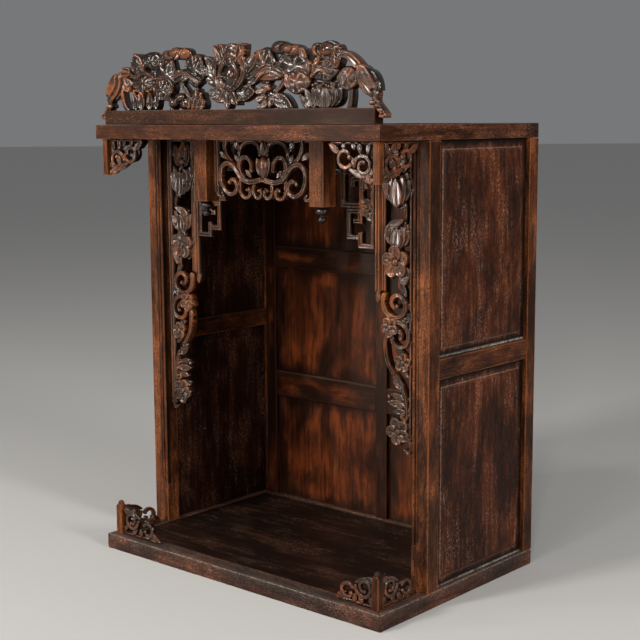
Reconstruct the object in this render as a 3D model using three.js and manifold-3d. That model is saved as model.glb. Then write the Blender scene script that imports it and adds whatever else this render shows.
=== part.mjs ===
// A tabletop household altar cabinet in carved hardwood: an open framed box between two slabs, with a porch
// in front, pierced hangings round the mouth and a lotus crest on top. Millimetres, +Z up, front towards -Y.
// The origin is under the middle of the base.
import * as THREE from "three";
import { mergeVertices } from "three/addons/utils/BufferGeometryUtils.js";
import Module from "manifold-3d";

const wasm = await Module();
wasm.setup();

// Driving dimensions
const width = 500;
const depth = 332;
const slabTop = 600;
const baseThick = 21;
const topThick = 19;
const railWide = 26;
const porchDeep = 94;
const postWide = 26;
const postDeep = 22;
const rearPostDeep = 20;
const gap = 0.3;

// Places worked out from them
const half = width / 2;
const frontY = -depth / 2;
const backY = depth / 2;
const floorZ = baseThick;
const ceilingZ = slabTop - topThick;
const boxFrontY = frontY + porchDeep;
const postBackY = boxFrontY + postDeep;
const rearPostY = backY - rearPostDeep;
const postInner = half - postWide;

const group = new THREE.Group();

// Colours: where the light catches the old lacquer, and in the shaded hollows
const finishes = {
  slab: { color: 0x4a2413, roughness: 0.42, metalness: 0 },
  frame: { color: 0x55290f, roughness: 0.4, metalness: 0 },
  panel: { color: 0x3a1a0e, roughness: 0.5, metalness: 0 },
  back: { color: 0x6b3312, roughness: 0.4, metalness: 0 },
  carving: { color: 0x3d1d10, roughness: 0.32, metalness: 0 },
};

function addPiece(name, finish, geometry, mirror = false) {
  const mesh = new THREE.Mesh(geometry, new THREE.MeshStandardMaterial(finishes[finish]));
  mesh.name = name;
  if (mirror) mesh.scale.x = -1;
  group.add(mesh);
  return mesh;
}

// Solids: three.js geometry in, joined or cut geometry out
function toSolid(geometry) {
  const bare = geometry.clone();
  bare.deleteAttribute("normal");
  bare.deleteAttribute("uv");
  const merged = mergeVertices(bare, 1e-4);
  return new wasm.Manifold(
    new wasm.Mesh({
      numProp: 3,
      vertProperties: merged.attributes.position.array,
      triVerts: new Uint32Array(merged.index.array),
    }),
  );
}

function toGeometry(solid) {
  const mesh = solid.getMesh();
  return new THREE.BufferGeometry()
    .setAttribute("position", new THREE.BufferAttribute(new Float32Array(mesh.vertProperties), 3))
    .setIndex(new THREE.BufferAttribute(new Uint32Array(mesh.triVerts), 1));
}

function join(geometries) {
  return toGeometry(geometries.map(toSolid).reduce((sum, next) => sum.add(next)));
}

function keepInside(geometry, room) {
  return toGeometry(toSolid(geometry).intersect(toSolid(room)));
}

// A block between two corners
function block(x0, y0, z0, x1, y1, z1) {
  return new THREE.BoxGeometry(x1 - x0, y1 - y0, z1 - z0).translate((x0 + x1) / 2, (y0 + y1) / 2, (z0 + z1) / 2);
}

// ---------------------------------------------------------------- carving
// Carved work lies in an upright plane: outlines are drawn in u (across) and v (up), the back is flat at
// y = back, and each form rises towards -y with its face drawn in a little, as a gouge leaves it.

// A closed body from an outline on its back and the same outline drawn in on its face
function raised(outline, face, back, front) {
  const count = outline.length;
  const points = [];
  outline.forEach((p) => points.push(p.x, back, p.y));
  face.forEach((p) => points.push(p.x, front, p.y));
  const index = [];
  for (let i = 0; i < count; i++) {
    const next = (i + 1) % count;
    index.push(i, next, count + next, i, count + next, count + i);
  }
  for (const [a, b, c] of THREE.ShapeUtils.triangulateShape(outline, [])) {
    index.push(a, c, b);
    index.push(count + a, count + b, count + c);
  }
  return new THREE.BufferGeometry()
    .setAttribute("position", new THREE.BufferAttribute(new Float32Array(points), 3))
    .setIndex(index);
}

function drawnIn(outline, keep) {
  const middle = outline.reduce((sum, p) => sum.add(p), new THREE.Vector2()).divideScalar(outline.length);
  return outline.map((p) => p.clone().sub(middle).multiplyScalar(keep).add(middle));
}

function placed(outline, u, v, angle) {
  return outline.map((p) => p.clone().rotateAround(new THREE.Vector2(), angle).add(new THREE.Vector2(u, v)));
}

// A petal or leaf with a round belly, from its base at the origin to its tip at +v
function petalOutline(length, wide, sides) {
  return Array.from({ length: sides }, (_, i) => {
    const turn = (2 * Math.PI * i) / sides;
    const along = (1 - Math.cos(turn)) / 2;
    return new THREE.Vector2((Math.sin(turn) * wide * (1.1 - 0.35 * along)) / 2, along * length);
  });
}

function ovalOutline(wide, high, sides) {
  return Array.from({ length: sides }, (_, i) => {
    const turn = (2 * Math.PI * (i + 0.5)) / sides;
    return new THREE.Vector2((Math.cos(turn) * wide) / 2, (Math.sin(turn) * high) / 2);
  });
}

// The work bench of one carving: it collects forms and joins them inside the room they may take. A level
// is how far a form rises, from 0 at the back to 1 at the face.
function carving(back, relief) {
  const forms = [];
  const faceAt = (level) => back - relief * Math.min(level, 1);
  const add = (outline, level, keep) => forms.push(raised(outline, drawnIn(outline, keep), back, faceAt(level)));
  const bench = {
    // lean is the tilt of the tip from upright, to the left when it is above zero
    petal(u, v, length, wide, lean, level = 0.8, sides = 6) {
      add(placed(petalOutline(length, wide, sides), u, v, lean), level, 0.7);
    },
    // A leaf between its two ends
    leaf(u0, v0, u1, v1, wide, level = 0.8, sides = 6) {
      bench.petal(u0, v0, Math.hypot(u1 - u0, v1 - v0), wide, Math.atan2(u0 - u1, v1 - v0), level, sides);
    },
    oval(u, v, wide, high, level = 0.8, sides = 6, lean = 0) {
      add(placed(ovalOutline(wide, high, sides), u, v, lean), level, 0.66);
    },
    bar(u0, v0, u1, v1, level = 0.7) {
      forms.push(block(Math.min(u0, u1), faceAt(level), Math.min(v0, v1), Math.max(u0, u1), back, Math.max(v0, v1)));
    },
    // A band along a curve, wide at the start and narrow at the end
    band(curve, steps, wide, narrow, level = 0.7) {
      const left = [];
      const right = [];
      const faceLeft = [];
      const faceRight = [];
      for (let i = 0; i <= steps; i++) {
        const t = i / steps;
        const at = curve.getPoint(t);
        const way = curve.getTangent(t);
        const side = new THREE.Vector2(-way.y, way.x);
        const reach = (wide + (narrow - wide) * t) / 2;
        left.unshift(at.clone().addScaledVector(side, reach));
        right.push(at.clone().addScaledVector(side, -reach));
        faceLeft.unshift(at.clone().addScaledVector(side, reach * 0.55));
        faceRight.push(at.clone().addScaledVector(side, -reach * 0.55));
      }
      forms.push(ribbon([...right, ...left], [...faceRight, ...faceLeft], back, faceAt(level), steps));
    },
    stem(points, steps, wide, narrow, level = 0.7) {
      bench.band(new THREE.SplineCurve(points.map(([u, v]) => new THREE.Vector2(u, v))), steps, wide, narrow, level);
    },
    // A scroll that winds in from radius outer to radius inner round its eye
    scroll(u, v, outer, inner, from, turns, wide, narrow, level = 0.85, steps = 7) {
      bench.band(new Spiral(u, v, outer, inner, from, turns), steps, wide, narrow, level);
    },
    // An upright lotus seen from the side: a round cup whose petal tips stand up, and one petal before it
    lotus(u, v, wide, high, level = 1) {
      const cup = [[0, -0.5], [0.36, -0.42], [0.5, -0.12], [0.44, 0.3], [0.2, 0.2], [0, 0.46]];
      const outline = [...cup, ...cup.slice(1, -1).reverse().map(([x, y]) => [-x, y])];
      add(outline.map(([x, y]) => new THREE.Vector2(u + x * wide, v + y * high)), level * 0.78, 0.72);
      bench.petal(u, v - high / 2, high * 0.94, wide * 0.44, 0, level);
    },
    // An open flower with round petals
    rosette(u, v, radius, petals, level = 0.9, from = 0) {
      const outline = Array.from({ length: petals * 2 }, (_, i) => {
        const turn = from + (Math.PI * i) / petals;
        const reach = radius * (i % 2 ? 1.04 : 0.72);
        return new THREE.Vector2(u + Math.cos(turn) * reach, v + Math.sin(turn) * reach);
      });
      add(outline, level, 0.72);
    },
    within: (...rooms) => keepInside(join(forms), join(rooms)),
  };
  return bench;
}

// A band's own triangulation, a quad for each step, so that a tight curl never crosses itself
function ribbon(outline, face, back, front, steps) {
  const count = outline.length;
  const points = [];
  outline.forEach((p) => points.push(p.x, back, p.y));
  face.forEach((p) => points.push(p.x, front, p.y));
  const index = [];
  for (let i = 0; i < count; i++) {
    const next = (i + 1) % count;
    index.push(i, next, count + next, i, count + next, count + i);
  }
  for (let i = 0; i < steps; i++) {
    const far = count - 1 - i;
    index.push(i, far, far - 1, i, far - 1, i + 1);
    index.push(count + i, count + far - 1, count + far, count + i, count + i + 1, count + far - 1);
  }
  return new THREE.BufferGeometry()
    .setAttribute("position", new THREE.BufferAttribute(new Float32Array(points), 3))
    .setIndex(index);
}

class Spiral extends THREE.Curve {
  constructor(u, v, outer, inner, from, turns) {
    super();
    Object.assign(this, { u, v, outer, inner, from, turns });
  }
  getPoint(t) {
    const turn = this.from + t * this.turns * 2 * Math.PI;
    const radius = this.outer + (this.inner - this.outer) * t;
    return new THREE.Vector2(this.u + Math.cos(turn) * radius, this.v + Math.sin(turn) * radius);
  }
}

// ---------------------------------------------------------------- slabs
// A slab is a mitred frame of four rails round a board that lies a little lower on the shown side.
const boardDrop = 1.2;

// One mitred rail of outer length long, lying along x with its outer edge at y = 0 and its body towards +y
function mitredRail(long, wide, thick) {
  const nose = 1.6;
  const section = [
    [0, nose],
    [nose, 0],
    [wide, 0],
    [wide, thick],
    [nose, thick],
    [0, thick - nose],
  ];
  const count = section.length;
  const points = [];
  for (const end of [-1, 1]) {
    for (const [inward, up] of section) points.push(end * (long / 2 - inward - gap / 2), inward, up);
  }
  const index = [];
  for (let i = 0; i < count; i++) {
    const next = (i + 1) % count;
    index.push(i, next, count + next, i, count + next, count + i);
  }
  for (let i = 1; i < count - 1; i++) {
    index.push(0, i + 1, i);
    index.push(count, count + i, count + i + 1);
  }
  return new THREE.BufferGeometry()
    .setAttribute("position", new THREE.BufferAttribute(new Float32Array(points), 3))
    .setIndex(index);
}

function slab(prefix, boardName, lowZ, thick, boardLow, boardHigh) {
  const sides = [
    ["front", width, 0, 0, frontY],
    ["right", depth, Math.PI / 2, half, 0],
    ["back", width, Math.PI, 0, backY],
    ["left", depth, -Math.PI / 2, -half, 0],
  ];
  for (const [side, long, turn, x, y] of sides) {
    const rail = addPiece(`${prefix}_${side}_rail`, "slab", mitredRail(long, railWide, thick));
    rail.rotation.z = turn;
    rail.position.set(x, y, lowZ);
  }
  const inset = railWide + gap;
  addPiece(boardName, "slab", block(inset - half, inset + frontY, boardLow, half - inset, backY - inset, boardHigh));
}

slab("base", "floor_board", 0, baseThick, 4, baseThick - boardDrop);
slab("top", "top_board", ceilingZ, topThick, ceilingZ + boardDrop, slabTop - boardDrop);

// ---------------------------------------------------------------- case
const lowZ = floorZ + gap;
const highZ = ceilingZ - gap;

// The front posts carry a double bead along the inner edge, which stops above the foot on a slant
const beadWide = 11;
const beadStop = 56;
const stopRise = 7;

function frontPost() {
  const flat = half - beadWide - postInner;
  const body = block(postInner, boxFrontY + 2.5, lowZ, half, postBackY, highZ);
  const face = block(half - flat, boxFrontY, lowZ, half, boxFrontY + 3, highZ);
  const beads = [0, 1].map((side) =>
    new THREE.CylinderGeometry(2.5, 2.5, highZ - lowZ - beadStop, 8)
      .rotateX(Math.PI / 2)
      .translate(postInner + 2.75 + side * 5.4, boxFrontY + 2.9, (highZ + lowZ + beadStop) / 2),
  );
  const footShape = new THREE.Shape([
    new THREE.Vector2(postInner, lowZ),
    new THREE.Vector2(half - flat + 0.5, lowZ),
    new THREE.Vector2(half - flat + 0.5, lowZ + beadStop + stopRise),
    new THREE.Vector2(postInner, lowZ + beadStop),
  ]);
  const foot = new THREE.ExtrudeGeometry(footShape, { depth: 3, bevelEnabled: false })
    .rotateX(Math.PI / 2)
    .translate(0, boxFrontY + 3, 0);
  return join([body, face, foot, ...beads]);
}

addPiece("front_post_right", "frame", frontPost());
addPiece("front_post_left", "frame", frontPost(), true);

const rearPost = block(postInner, rearPostY, lowZ, half, backY, highZ);
addPiece("rear_post_right", "frame", rearPost);
addPiece("rear_post_left", "frame", rearPost, true);

// Side walls: a rail across the middle, and a fielded panel above and below it
const sideRailLow = 289;
const sideRailHigh = 315;
const panelOuter = half - 6;
const fieldOuter = half - 3;
const panelInner = half - 18;
const fieldMargin = 11;
const fieldSlope = 4;

function fieldedPanel(z0, z1) {
  const y0 = postBackY + gap;
  const y1 = rearPostY - gap;
  const plate = block(panelInner, y0, z0, panelOuter, y1, z1);
  const low = [
    [y0 + fieldMargin, z0 + fieldMargin],
    [y1 - fieldMargin, z0 + fieldMargin],
    [y1 - fieldMargin, z1 - fieldMargin],
    [y0 + fieldMargin, z1 - fieldMargin],
  ];
  const outline = low.map(([y, z]) => new THREE.Vector2(y, z));
  const drawn = low.map(
    ([y, z]) => new THREE.Vector2(y + (y < 0 ? fieldSlope : -fieldSlope), z + (z < (z0 + z1) / 2 ? fieldSlope : -fieldSlope)),
  );
  const field = raised(outline, drawn, -(panelOuter - 1), -fieldOuter).rotateZ(Math.PI / 2);
  return join([plate, field]);
}

const sideRail = block(half - 24, postBackY + gap, sideRailLow, half - 1, rearPostY - gap, sideRailHigh);
for (const [side, mirror] of [["right", false], ["left", true]]) {
  addPiece(`side_rail_${side}`, "frame", sideRail, mirror);
  addPiece(`side_panel_lower_${side}`, "panel", fieldedPanel(lowZ, sideRailLow - gap), mirror);
  addPiece(`side_panel_upper_${side}`, "panel", fieldedPanel(sideRailHigh + gap, highZ), mirror);
}

// ---------------------------------------------------------------- back
// Three stiles, two bays; the middle stile stands a little to the right, as the maker set it.
const backFace = 141;
const backRear = 161;
const backPanelFace = 147;
const backPanelRear = 156;
const stileWide = 20;
const middleStileX = 6;
const backRails = [[181, 218], [382, 413]];

const stileEdge = postInner - gap;
const stiles = [
  ["back_stile_left", -stileEdge, stileWide - stileEdge],
  ["back_stile_middle", middleStileX - stileWide / 2, middleStileX + stileWide / 2],
  ["back_stile_right", stileEdge - stileWide, stileEdge],
];
for (const [name, x0, x1] of stiles) addPiece(name, "back", block(x0, backFace, lowZ, x1, backRear, highZ));

const bays = [
  ["left", stiles[0][2] + gap, stiles[1][1] - gap],
  ["right", stiles[1][2] + gap, stiles[2][1] - gap],
];
const rows = [
  ["lower", lowZ, backRails[0][0] - gap],
  ["middle", backRails[0][1] + gap, backRails[1][0] - gap],
  ["upper", backRails[1][1] + gap, highZ],
];
for (const [bay, x0, x1] of bays) {
  backRails.forEach(([z0, z1], i) => {
    addPiece(`back_rail_${i ? "upper" : "lower"}_${bay}`, "back", block(x0, backFace, z0, x1, backRear, z1));
  });
  for (const [row, z0, z1] of rows) {
    addPiece(`back_panel_${row}_${bay}`, "back", block(x0, backPanelFace, z0, x1, backPanelRear, z1));
  }
}

// ---------------------------------------------------------------- hangings
// The turned hanging posts on either side of the pierced scroll panel
const hangWide = 23.5;
const hangInner = 91.5;
const hangFace = -110;
const hangLowZ = 498.5;

function hangingPost() {
  const middle = hangInner + hangWide / 2;
  const shaft = block(hangInner, hangFace, hangLowZ, hangInner + hangWide, hangFace + hangWide, highZ);
  const turned = [[0, -21], [4.6, -19.4], [5.6, -15.6], [3.6, -12.8], [9, -7.6], [7.6, -2], [5.4, 0.5], [0, 0.5]];
  const profile = turned.map(([r, z]) => new THREE.Vector2(r, z));
  const finial = new THREE.LatheGeometry(profile, 9)
    .rotateX(Math.PI / 2)
    .translate(middle, hangFace + hangWide / 2, hangLowZ);
  return join([shaft, finial]);
}

addPiece("hanging_post_right", "frame", hangingPost());
addPiece("hanging_post_left", "frame", hangingPost(), true);

// The pierced scroll panel between them
const centreFace = -100;
const centreThick = 10;
const centreLowZ = 503;

function centrePanel() {
  const edge = hangInner - gap;
  const bench = carving(centreFace + centreThick, centreThick);
  bench.bar(-edge, highZ - 4, edge, highZ, 0.6);
  for (const side of [-1, 1]) {
    const turn = (degrees) => ((side > 0 ? degrees : 180 - degrees) * Math.PI) / 180;
    const scroll = (u, v, outer, inner, from, turns, wide, narrow, steps) =>
      bench.scroll(side * u, v, outer, inner, turn(from), side * turns, wide, narrow, 0.85, steps);
    const stem = (points, steps, wide, narrow, level) =>
      bench.stem(points.map(([u, v]) => [side * u, v]), steps, wide, narrow, level);
    const leaf = (u0, v0, u1, v1, wide, level) => bench.leaf(side * u0, v0, side * u1, v1, wide, level);
    bench.bar(side * 80, 511, side * edge, highZ, 0.7);
    bench.oval(side * 77, 509, 16, 10, 0.8);
    // the ridged stem that swings from the top corner to the middle
    stem([[68, 580], [64, 560], [48, 544], [30, 530], [-1, 528]], 5, 7, 6, 0.95);
    // the arch over the inner leaf, the tall C beside the medallion and its foot
    stem([[42, 556], [34, 571], [20, 574], [8, 564]], 3, 9, 6, 0.8);
    stem([[41, 540], [39, 551], [31, 559], [20, 555], [14, 545]], 4, 6, 5, 0.85);
    // the outer C with the lower ring in its mouth
    scroll(60, 537, 17, 15, 80, 0.34, 6, 5, 3);
    scroll(58, 519.5, 14, 3.5, 130, 1.05, 7, 4, 6);
    stem([[76, 552], [82, 562]], 1, 6, 5, 0.7);
    // the curls along the lower edge
    scroll(27, 514, 10.5, 3, 150, -0.95, 5.5, 4, 5);
    scroll(8.5, 514.5, 10.5, 3, 60, -0.95, 5.5, 4, 5);
    leaf(41, 546, 54, 559, 8, 0.7);
    leaf(40, 566, 54, 576, 9, 0.7);
  }
  // the lotus bud in the middle and the bud over it
  bench.oval(0, 546, 30, 30, 0.9, 7);
  bench.petal(0, 532, 30, 14, 0, 1);
  bench.petal(0, 556, 24, 13, 0, 0.8);
  return bench.within(block(-edge, centreFace, centreLowZ, edge, centreFace + centreThick, highZ));
}

addPiece("centre_panel", "carving", centrePanel());

// The carved strips that hang beside the front posts
const stripFace = boxFrontY + 6;
const stripThick = 12;
const stripInner = 157;
const stripOuter = postInner - gap;
const stripLowZ = 187;

function carvedStrip() {
  const bench = carving(stripFace + stripThick, stripThick);
  // the beaded edges: the outer one runs full height, the inner one stops above the first scroll
  bench.bar(211, 196, stripOuter, highZ, 0.62);
  bench.bar(217, 196, stripOuter, highZ, 0.85);
  bench.bar(stripInner, 382, 166.5, highZ, 0.8);
  bench.bar(stripInner, 392, 174, highZ, 0.62);
  bench.bar(stripInner, highZ - 6, stripOuter, highZ, 0.62);
  // the topmost leaves
  bench.leaf(180, 541, 187, 577, 17, 0.75);
  bench.leaf(207, 541, 199, 577, 17, 0.8);
  bench.oval(193, 548, 30, 13, 0.7);
  // two lotus flowers on one stem, an open flower and the veined leaf under it
  bench.lotus(193, 521.5, 40, 43);
  bench.stem([[204, 502], [203, 474]], 1, 5, 5, 0.6);
  bench.lotus(193, 465.5, 35, 34);
  bench.leaf(178, 478, 208, 484, 10, 0.8);
  bench.rosette(191.5, 432, 18.5, 5, 0.9);
  bench.leaf(212, 424, 194, 399, 15, 0.7);
  // the first C-scroll winds out of the inner edge and the second answers it
  bench.scroll(193, 380, 22, 3.5, 2.7, 1.38, 7, 4.5, 0.9, 9);
  bench.scroll(196.7, 339, 19, 4, 1.75, -1.35, 6.5, 4.5, 0.9, 8);
  bench.oval(183, 350, 26, 19, 0.95, 7);
  // the long stem that swings from the inner side to the outer
  bench.stem([[180, 345], [177, 325], [182, 300], [196, 285], [207, 263], [210, 238]], 7, 6, 5.5, 0.8);
  bench.rosette(202.5, 306, 12, 4, 0.85, 0.3);
  bench.leaf(200, 272, 186, 289, 13, 0.75);
  bench.leaf(208, 249, 179, 264, 12, 0.8);
  // the last flower and its tail
  bench.rosette(196.5, 220, 17, 5, 0.95, 0.6);
  bench.stem([[208, 214], [217, 205], [210, 195], [204, 200]], 3, 6, 4, 0.8);
  return bench.within(block(stripInner, stripFace, stripLowZ, stripOuter, stripFace + stripThick, highZ));
}

addPiece("carved_strip_right", "carving", carvedStrip());
addPiece("carved_strip_left", "carving", carvedStrip(), true);

// Square-spiral fret brackets, one step lower and further out at a time
const fretFace = stripFace;
const fretThick = 10;
const fretOuter = stripInner - gap;
const fretInner = 83;
const fretLowZ = 445;
const fretBar = 7.5;

function fretBracket() {
  const bench = carving(fretFace + fretThick, fretThick);
  const bar = (u0, v0, u1, v1) => bench.bar(u0, v0, u1, v1, 0.9);
  // the top: a tall block next to the hanging post and the rail that carries the squares
  bar(fretInner, highZ - fretBar, fretOuter, highZ);
  bar(fretInner, 537, fretInner + 2 * fretBar, highZ);
  bar(fretInner, 537, fretOuter, 537 + fretBar);
  // the upper square winds left, down, right, up and back into its hook
  bar(103, 496, 103 + fretBar, 545);
  bar(103, 496, 140.5, 496 + fretBar);
  bar(140.5 - fretBar, 496, 140.5, 536.5);
  bar(119, 536.5 - fretBar, 140.5, 536.5);
  bar(119, 522, 119 + fretBar, 536.5);
  // the lower square, one step further out
  bar(112.5, 455, 112.5 + fretBar, 497);
  bar(112.5, 488.5, 138, 496);
  bar(138 - fretBar, 477, 138, 496);
  bar(124, 477, 138, 482.5);
  bar(112.5, 455.5, 138, 463);
  // the last step and the edge that runs back up to the rail
  bar(131, fretLowZ, 138, 463);
  bar(131, fretLowZ, fretOuter, fretLowZ + 9);
  bar(fretOuter - 5.5, fretLowZ, fretOuter, highZ);
  // a leaf and a small flower in the gap beside the edge
  bench.leaf(137, 521, 155, 535, 11, 0.75);
  bench.oval(146, 494, 19, 21, 0.8);
  return bench.within(block(fretInner, fretFace, fretLowZ, fretOuter, fretFace + fretThick, highZ));
}

addPiece("fret_bracket_right", "carving", fretBracket());
addPiece("fret_bracket_left", "carving", fretBracket(), true);

// Short drops under the top slab's front corners, each with a front and a side scroll spandrel
const dropSize = 9;
const dropOuter = 243;
const dropFace = frontY + 6;
const dropLowZ = 532;
const dropMiddleY = dropFace + dropSize / 2;
const dropMiddleX = dropOuter - dropSize / 2;
const spandrelThick = 6;
const spandrelLong = 69;
const spandrelHigh = 48;

const drop = block(dropOuter - dropSize, dropFace, dropLowZ, dropOuter, dropFace + dropSize, highZ);
addPiece("corner_drop_right", "frame", drop);
addPiece("corner_drop_left", "frame", drop, true);

// Drawn from the drop outwards along +u and hanging from v = 0: two scrolls make an S over a leafy lower edge
function spandrel() {
  const bench = carving(spandrelThick / 2, spandrelThick);
  bench.bar(0, -3, spandrelLong - 4, 0, 0.8);
  bench.scroll(17, -28, 14, 5, 0, 1.15, 5.5, 4, 0.95, 6);
  bench.scroll(44.5, -19, 12.5, 7, -2.4, 0.85, 5, 4.5, 0.95, 5);
  bench.leaf(22, -1, 21, -15, 8, 0.85);
  bench.leaf(52, -13, 69, -3, 9, 0.85);
  bench.leaf(0, -47, 36, -31, 11, 0.85);
  return bench.within(block(0, -spandrelThick / 2, 0.5 - spandrelHigh, spandrelLong, spandrelThick / 2, 0));
}

for (const [side, sign] of [["right", 1], ["left", -1]]) {
  const front = addPiece(`spandrel_front_${side}`, "carving", spandrel());
  front.scale.x = -sign;
  front.position.set(sign * (dropOuter - dropSize - gap), dropMiddleY, highZ);
  const flank = addPiece(`spandrel_side_${side}`, "carving", spandrel());
  flank.rotation.z = Math.PI / 2;
  flank.scale.y = sign;
  flank.position.set(sign * dropMiddleX, dropFace + dropSize + gap, highZ);
}

// ---------------------------------------------------------------- base ornaments
const cornerPostSize = 10.5;
const cornerPostOuter = 240;
const cornerPostFace = -157;
const cornerPostHigh = 48;
const bracketThick = 7;
const bracketHigh = 40;

function cornerPost() {
  const x0 = cornerPostOuter - cornerPostSize;
  const y1 = cornerPostFace + cornerPostSize;
  const shaft = block(x0, cornerPostFace, lowZ, cornerPostOuter, y1, lowZ + cornerPostHigh - 6);
  const head = new THREE.CylinderGeometry(cornerPostSize * 0.26, cornerPostSize * 0.46, 6.5, 8)
    .rotateX(Math.PI / 2)
    .translate(x0 + cornerPostSize / 2, cornerPostFace + cornerPostSize / 2, lowZ + cornerPostHigh - 3.25);
  return join([shaft, head]);
}

addPiece("base_post_right", "frame", cornerPost());
addPiece("base_post_left", "frame", cornerPost(), true);

// Drawn from the post outwards along +u, standing on v = 0: the spandrel's S turned over, on a low foot
function baseBracket(long) {
  const bench = carving(bracketThick / 2, bracketThick);
  const reach = long / 62;
  bench.bar(0, 0, long - 6, 4, 0.8);
  bench.scroll(15 * reach, 23, 14, 5, 0, -1.1, 5.5, 4, 0.95, 6);
  bench.scroll(43 * reach, 14, 11, 7, 2.5, -0.8, 5, 4.5, 0.95, 4);
  bench.leaf(0, 41, 15 * reach, 32, 9, 0.85);
  bench.leaf(19 * reach, 1, 21 * reach, 13, 9, 0.8);
  bench.leaf(48 * reach, 10, long, 1, 9, 0.85);
  return bench.within(block(0, -bracketThick / 2, 0, long, bracketThick / 2, bracketHigh));
}

for (const [side, sign, frontLong, sideLong] of [["right", 1, 59, 69], ["left", -1, 76, 66]]) {
  const front = addPiece(`base_bracket_front_${side}`, "carving", baseBracket(frontLong));
  front.scale.x = -sign;
  front.position.set(sign * (cornerPostOuter - cornerPostSize - gap), cornerPostFace + cornerPostSize / 2, lowZ);
  const flank = addPiece(`base_bracket_side_${side}`, "carving", baseBracket(sideLong));
  flank.rotation.z = Math.PI / 2;
  flank.scale.y = sign;
  flank.position.set(
    sign * (cornerPostOuter - cornerPostSize / 2),
    cornerPostFace + cornerPostSize + gap,
    lowZ,
  );
}

// ---------------------------------------------------------------- crest
const crestFace = frontY + 6;
const crestRailDeep = 17;
const crestRailHigh = 19;
const crestShadow = 4;
const crestThick = 16;
const crestTopZ = 700;

const crestRailEnd = 236;

const crestRail = join([
  block(
    -crestRailEnd, crestFace + 5, slabTop + gap,
    crestRailEnd, crestFace + crestRailDeep, slabTop + crestRailHigh,
  ),
  block(-crestRailEnd, crestFace, slabTop + crestShadow, crestRailEnd, crestFace + 6, slabTop + crestRailHigh),
]);
addPiece("crest_rail", "frame", crestRail);

// Lotus flowers, wavy leaves and seed pods, nearly alike on both sides of the middle flower
function crestCarving() {
  const footZ = slabTop + crestRailHigh + gap;
  const bench = carving(crestFace + crestThick, crestThick);
  // the middle lotus: its cup, its seed pod between two petals, and the leaf folded under it
  bench.oval(1, 662, 52, 38, 0.8, 7);
  bench.petal(0, 645, 24, 22, 0, 1);
  bench.oval(1, 683, 27, 30, 0.95, 7);
  for (const side of [-1, 1]) {
    bench.leaf(side * 16, 672, side * 24, 700, 13, 0.85);
    bench.leaf(side * 23, 648, side * 46, 686, 22, 0.7);
    bench.leaf(side * 3, 636, side * 40, 645, 20, 0.8);
  }
  bench.oval(-2, 631, 32, 26, 0.9);
  for (const side of [-1, 1]) {
    // the inner wavy leaf, the big leaf with its hanging lobe, and the rolled edge over both
    bench.oval(side * 62, 672, 48, 42, 0.7, 7);
    bench.oval(side * 68, 660, 50, 17, 0.85);
    bench.oval(side * 112, 669, 62, 38, 0.72, 8);
    bench.petal(side * 114, 672, 37, 36, Math.PI, 0.9);
    bench.leaf(side * 72, 690, side * 126, 686, 22, 0.95);
    // the curled leaf and the veined leaf that stand on the rail
    bench.leaf(side * 60, footZ - 2, side * 68, 652, 32, 0.9);
    bench.leaf(side * 106, footZ, side * 74, 640, 20, 0.8);
    bench.stem([[side * 76, 634], [side * 92, 652]], 1, 6, 6, 0.6);
    // the outer leaves round the edge of a seed pod, and a lotus standing on the rail
    bench.oval(side * 157, 678, 50, 34, 0.75, 7);
    bench.leaf(side * 168, 662, side * 176, 693, 13, 0.95);
    bench.oval(side * 155, 657, 46, 22, 0.7);
    bench.lotus(side * 160, 634, 44, 32);
    bench.leaf(side * 142, footZ - 1, side * 124, 640, 14, 0.75);
    // the last leaf on its stalk
    bench.oval(side * 192, 658, 32, 32, 0.8, 7);
    bench.stem([[side * 194, 645], [side * 194, footZ]], 1, 8, 7, 0.6);
    bench.stem([[side * 178, 676], [side * 203, 672], [side * 222, 655]], 3, 9, 11, 0.75);
    // the bud that droops over the end of the rail
    bench.leaf(side * 203, 668, side * 229, 632, 20, 0.8);
    bench.leaf(side * 210, 668, side * 238, 632, 17, 1);
    bench.stem([[side * 234, 640], [side * 233, 626], [side * 243, 611]], 3, 9, 12, 0.8);
  }
  return bench.within(
    block(-half, crestFace, footZ, half, crestFace + crestThick, crestTopZ),
    block(crestRailEnd + gap, crestFace, slabTop + crestShadow + gap, half, crestFace + crestThick, footZ + 1),
    block(-half, crestFace, slabTop + crestShadow + gap, -crestRailEnd - gap, crestFace + crestThick, footZ + 1),
  );
}

addPiece("crest_carving", "carving", crestCarving());

export default group;
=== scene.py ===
import bpy
import math
import numpy as np
from mathutils import Matrix, Vector


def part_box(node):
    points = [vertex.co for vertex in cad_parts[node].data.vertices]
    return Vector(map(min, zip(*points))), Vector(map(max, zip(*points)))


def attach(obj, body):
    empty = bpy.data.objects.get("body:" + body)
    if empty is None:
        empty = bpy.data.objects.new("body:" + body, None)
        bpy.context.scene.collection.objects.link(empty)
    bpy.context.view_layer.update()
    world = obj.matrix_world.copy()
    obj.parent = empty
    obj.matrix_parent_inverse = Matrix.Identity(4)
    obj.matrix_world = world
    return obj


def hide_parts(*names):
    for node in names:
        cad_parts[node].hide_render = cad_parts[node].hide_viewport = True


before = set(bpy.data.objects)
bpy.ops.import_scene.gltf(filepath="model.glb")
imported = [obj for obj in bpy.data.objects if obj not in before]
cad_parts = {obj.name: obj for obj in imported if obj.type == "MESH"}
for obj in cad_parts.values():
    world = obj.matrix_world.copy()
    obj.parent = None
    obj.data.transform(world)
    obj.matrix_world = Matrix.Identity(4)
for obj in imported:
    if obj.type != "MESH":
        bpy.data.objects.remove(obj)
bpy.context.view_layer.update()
mm = 0.001
print("frame loaded:", len(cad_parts), "solids")

view = {
    "azimuth": 41.278,  # degrees round from straight in front
    "tilt": 8.62,  # degrees down
    "roll": 0.326,
    "lens": 75.05,
    "sensor": 36,  # millimetres, as the lens is
    "place": (1.1984, -1.3516, 0.6081),
}


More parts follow.
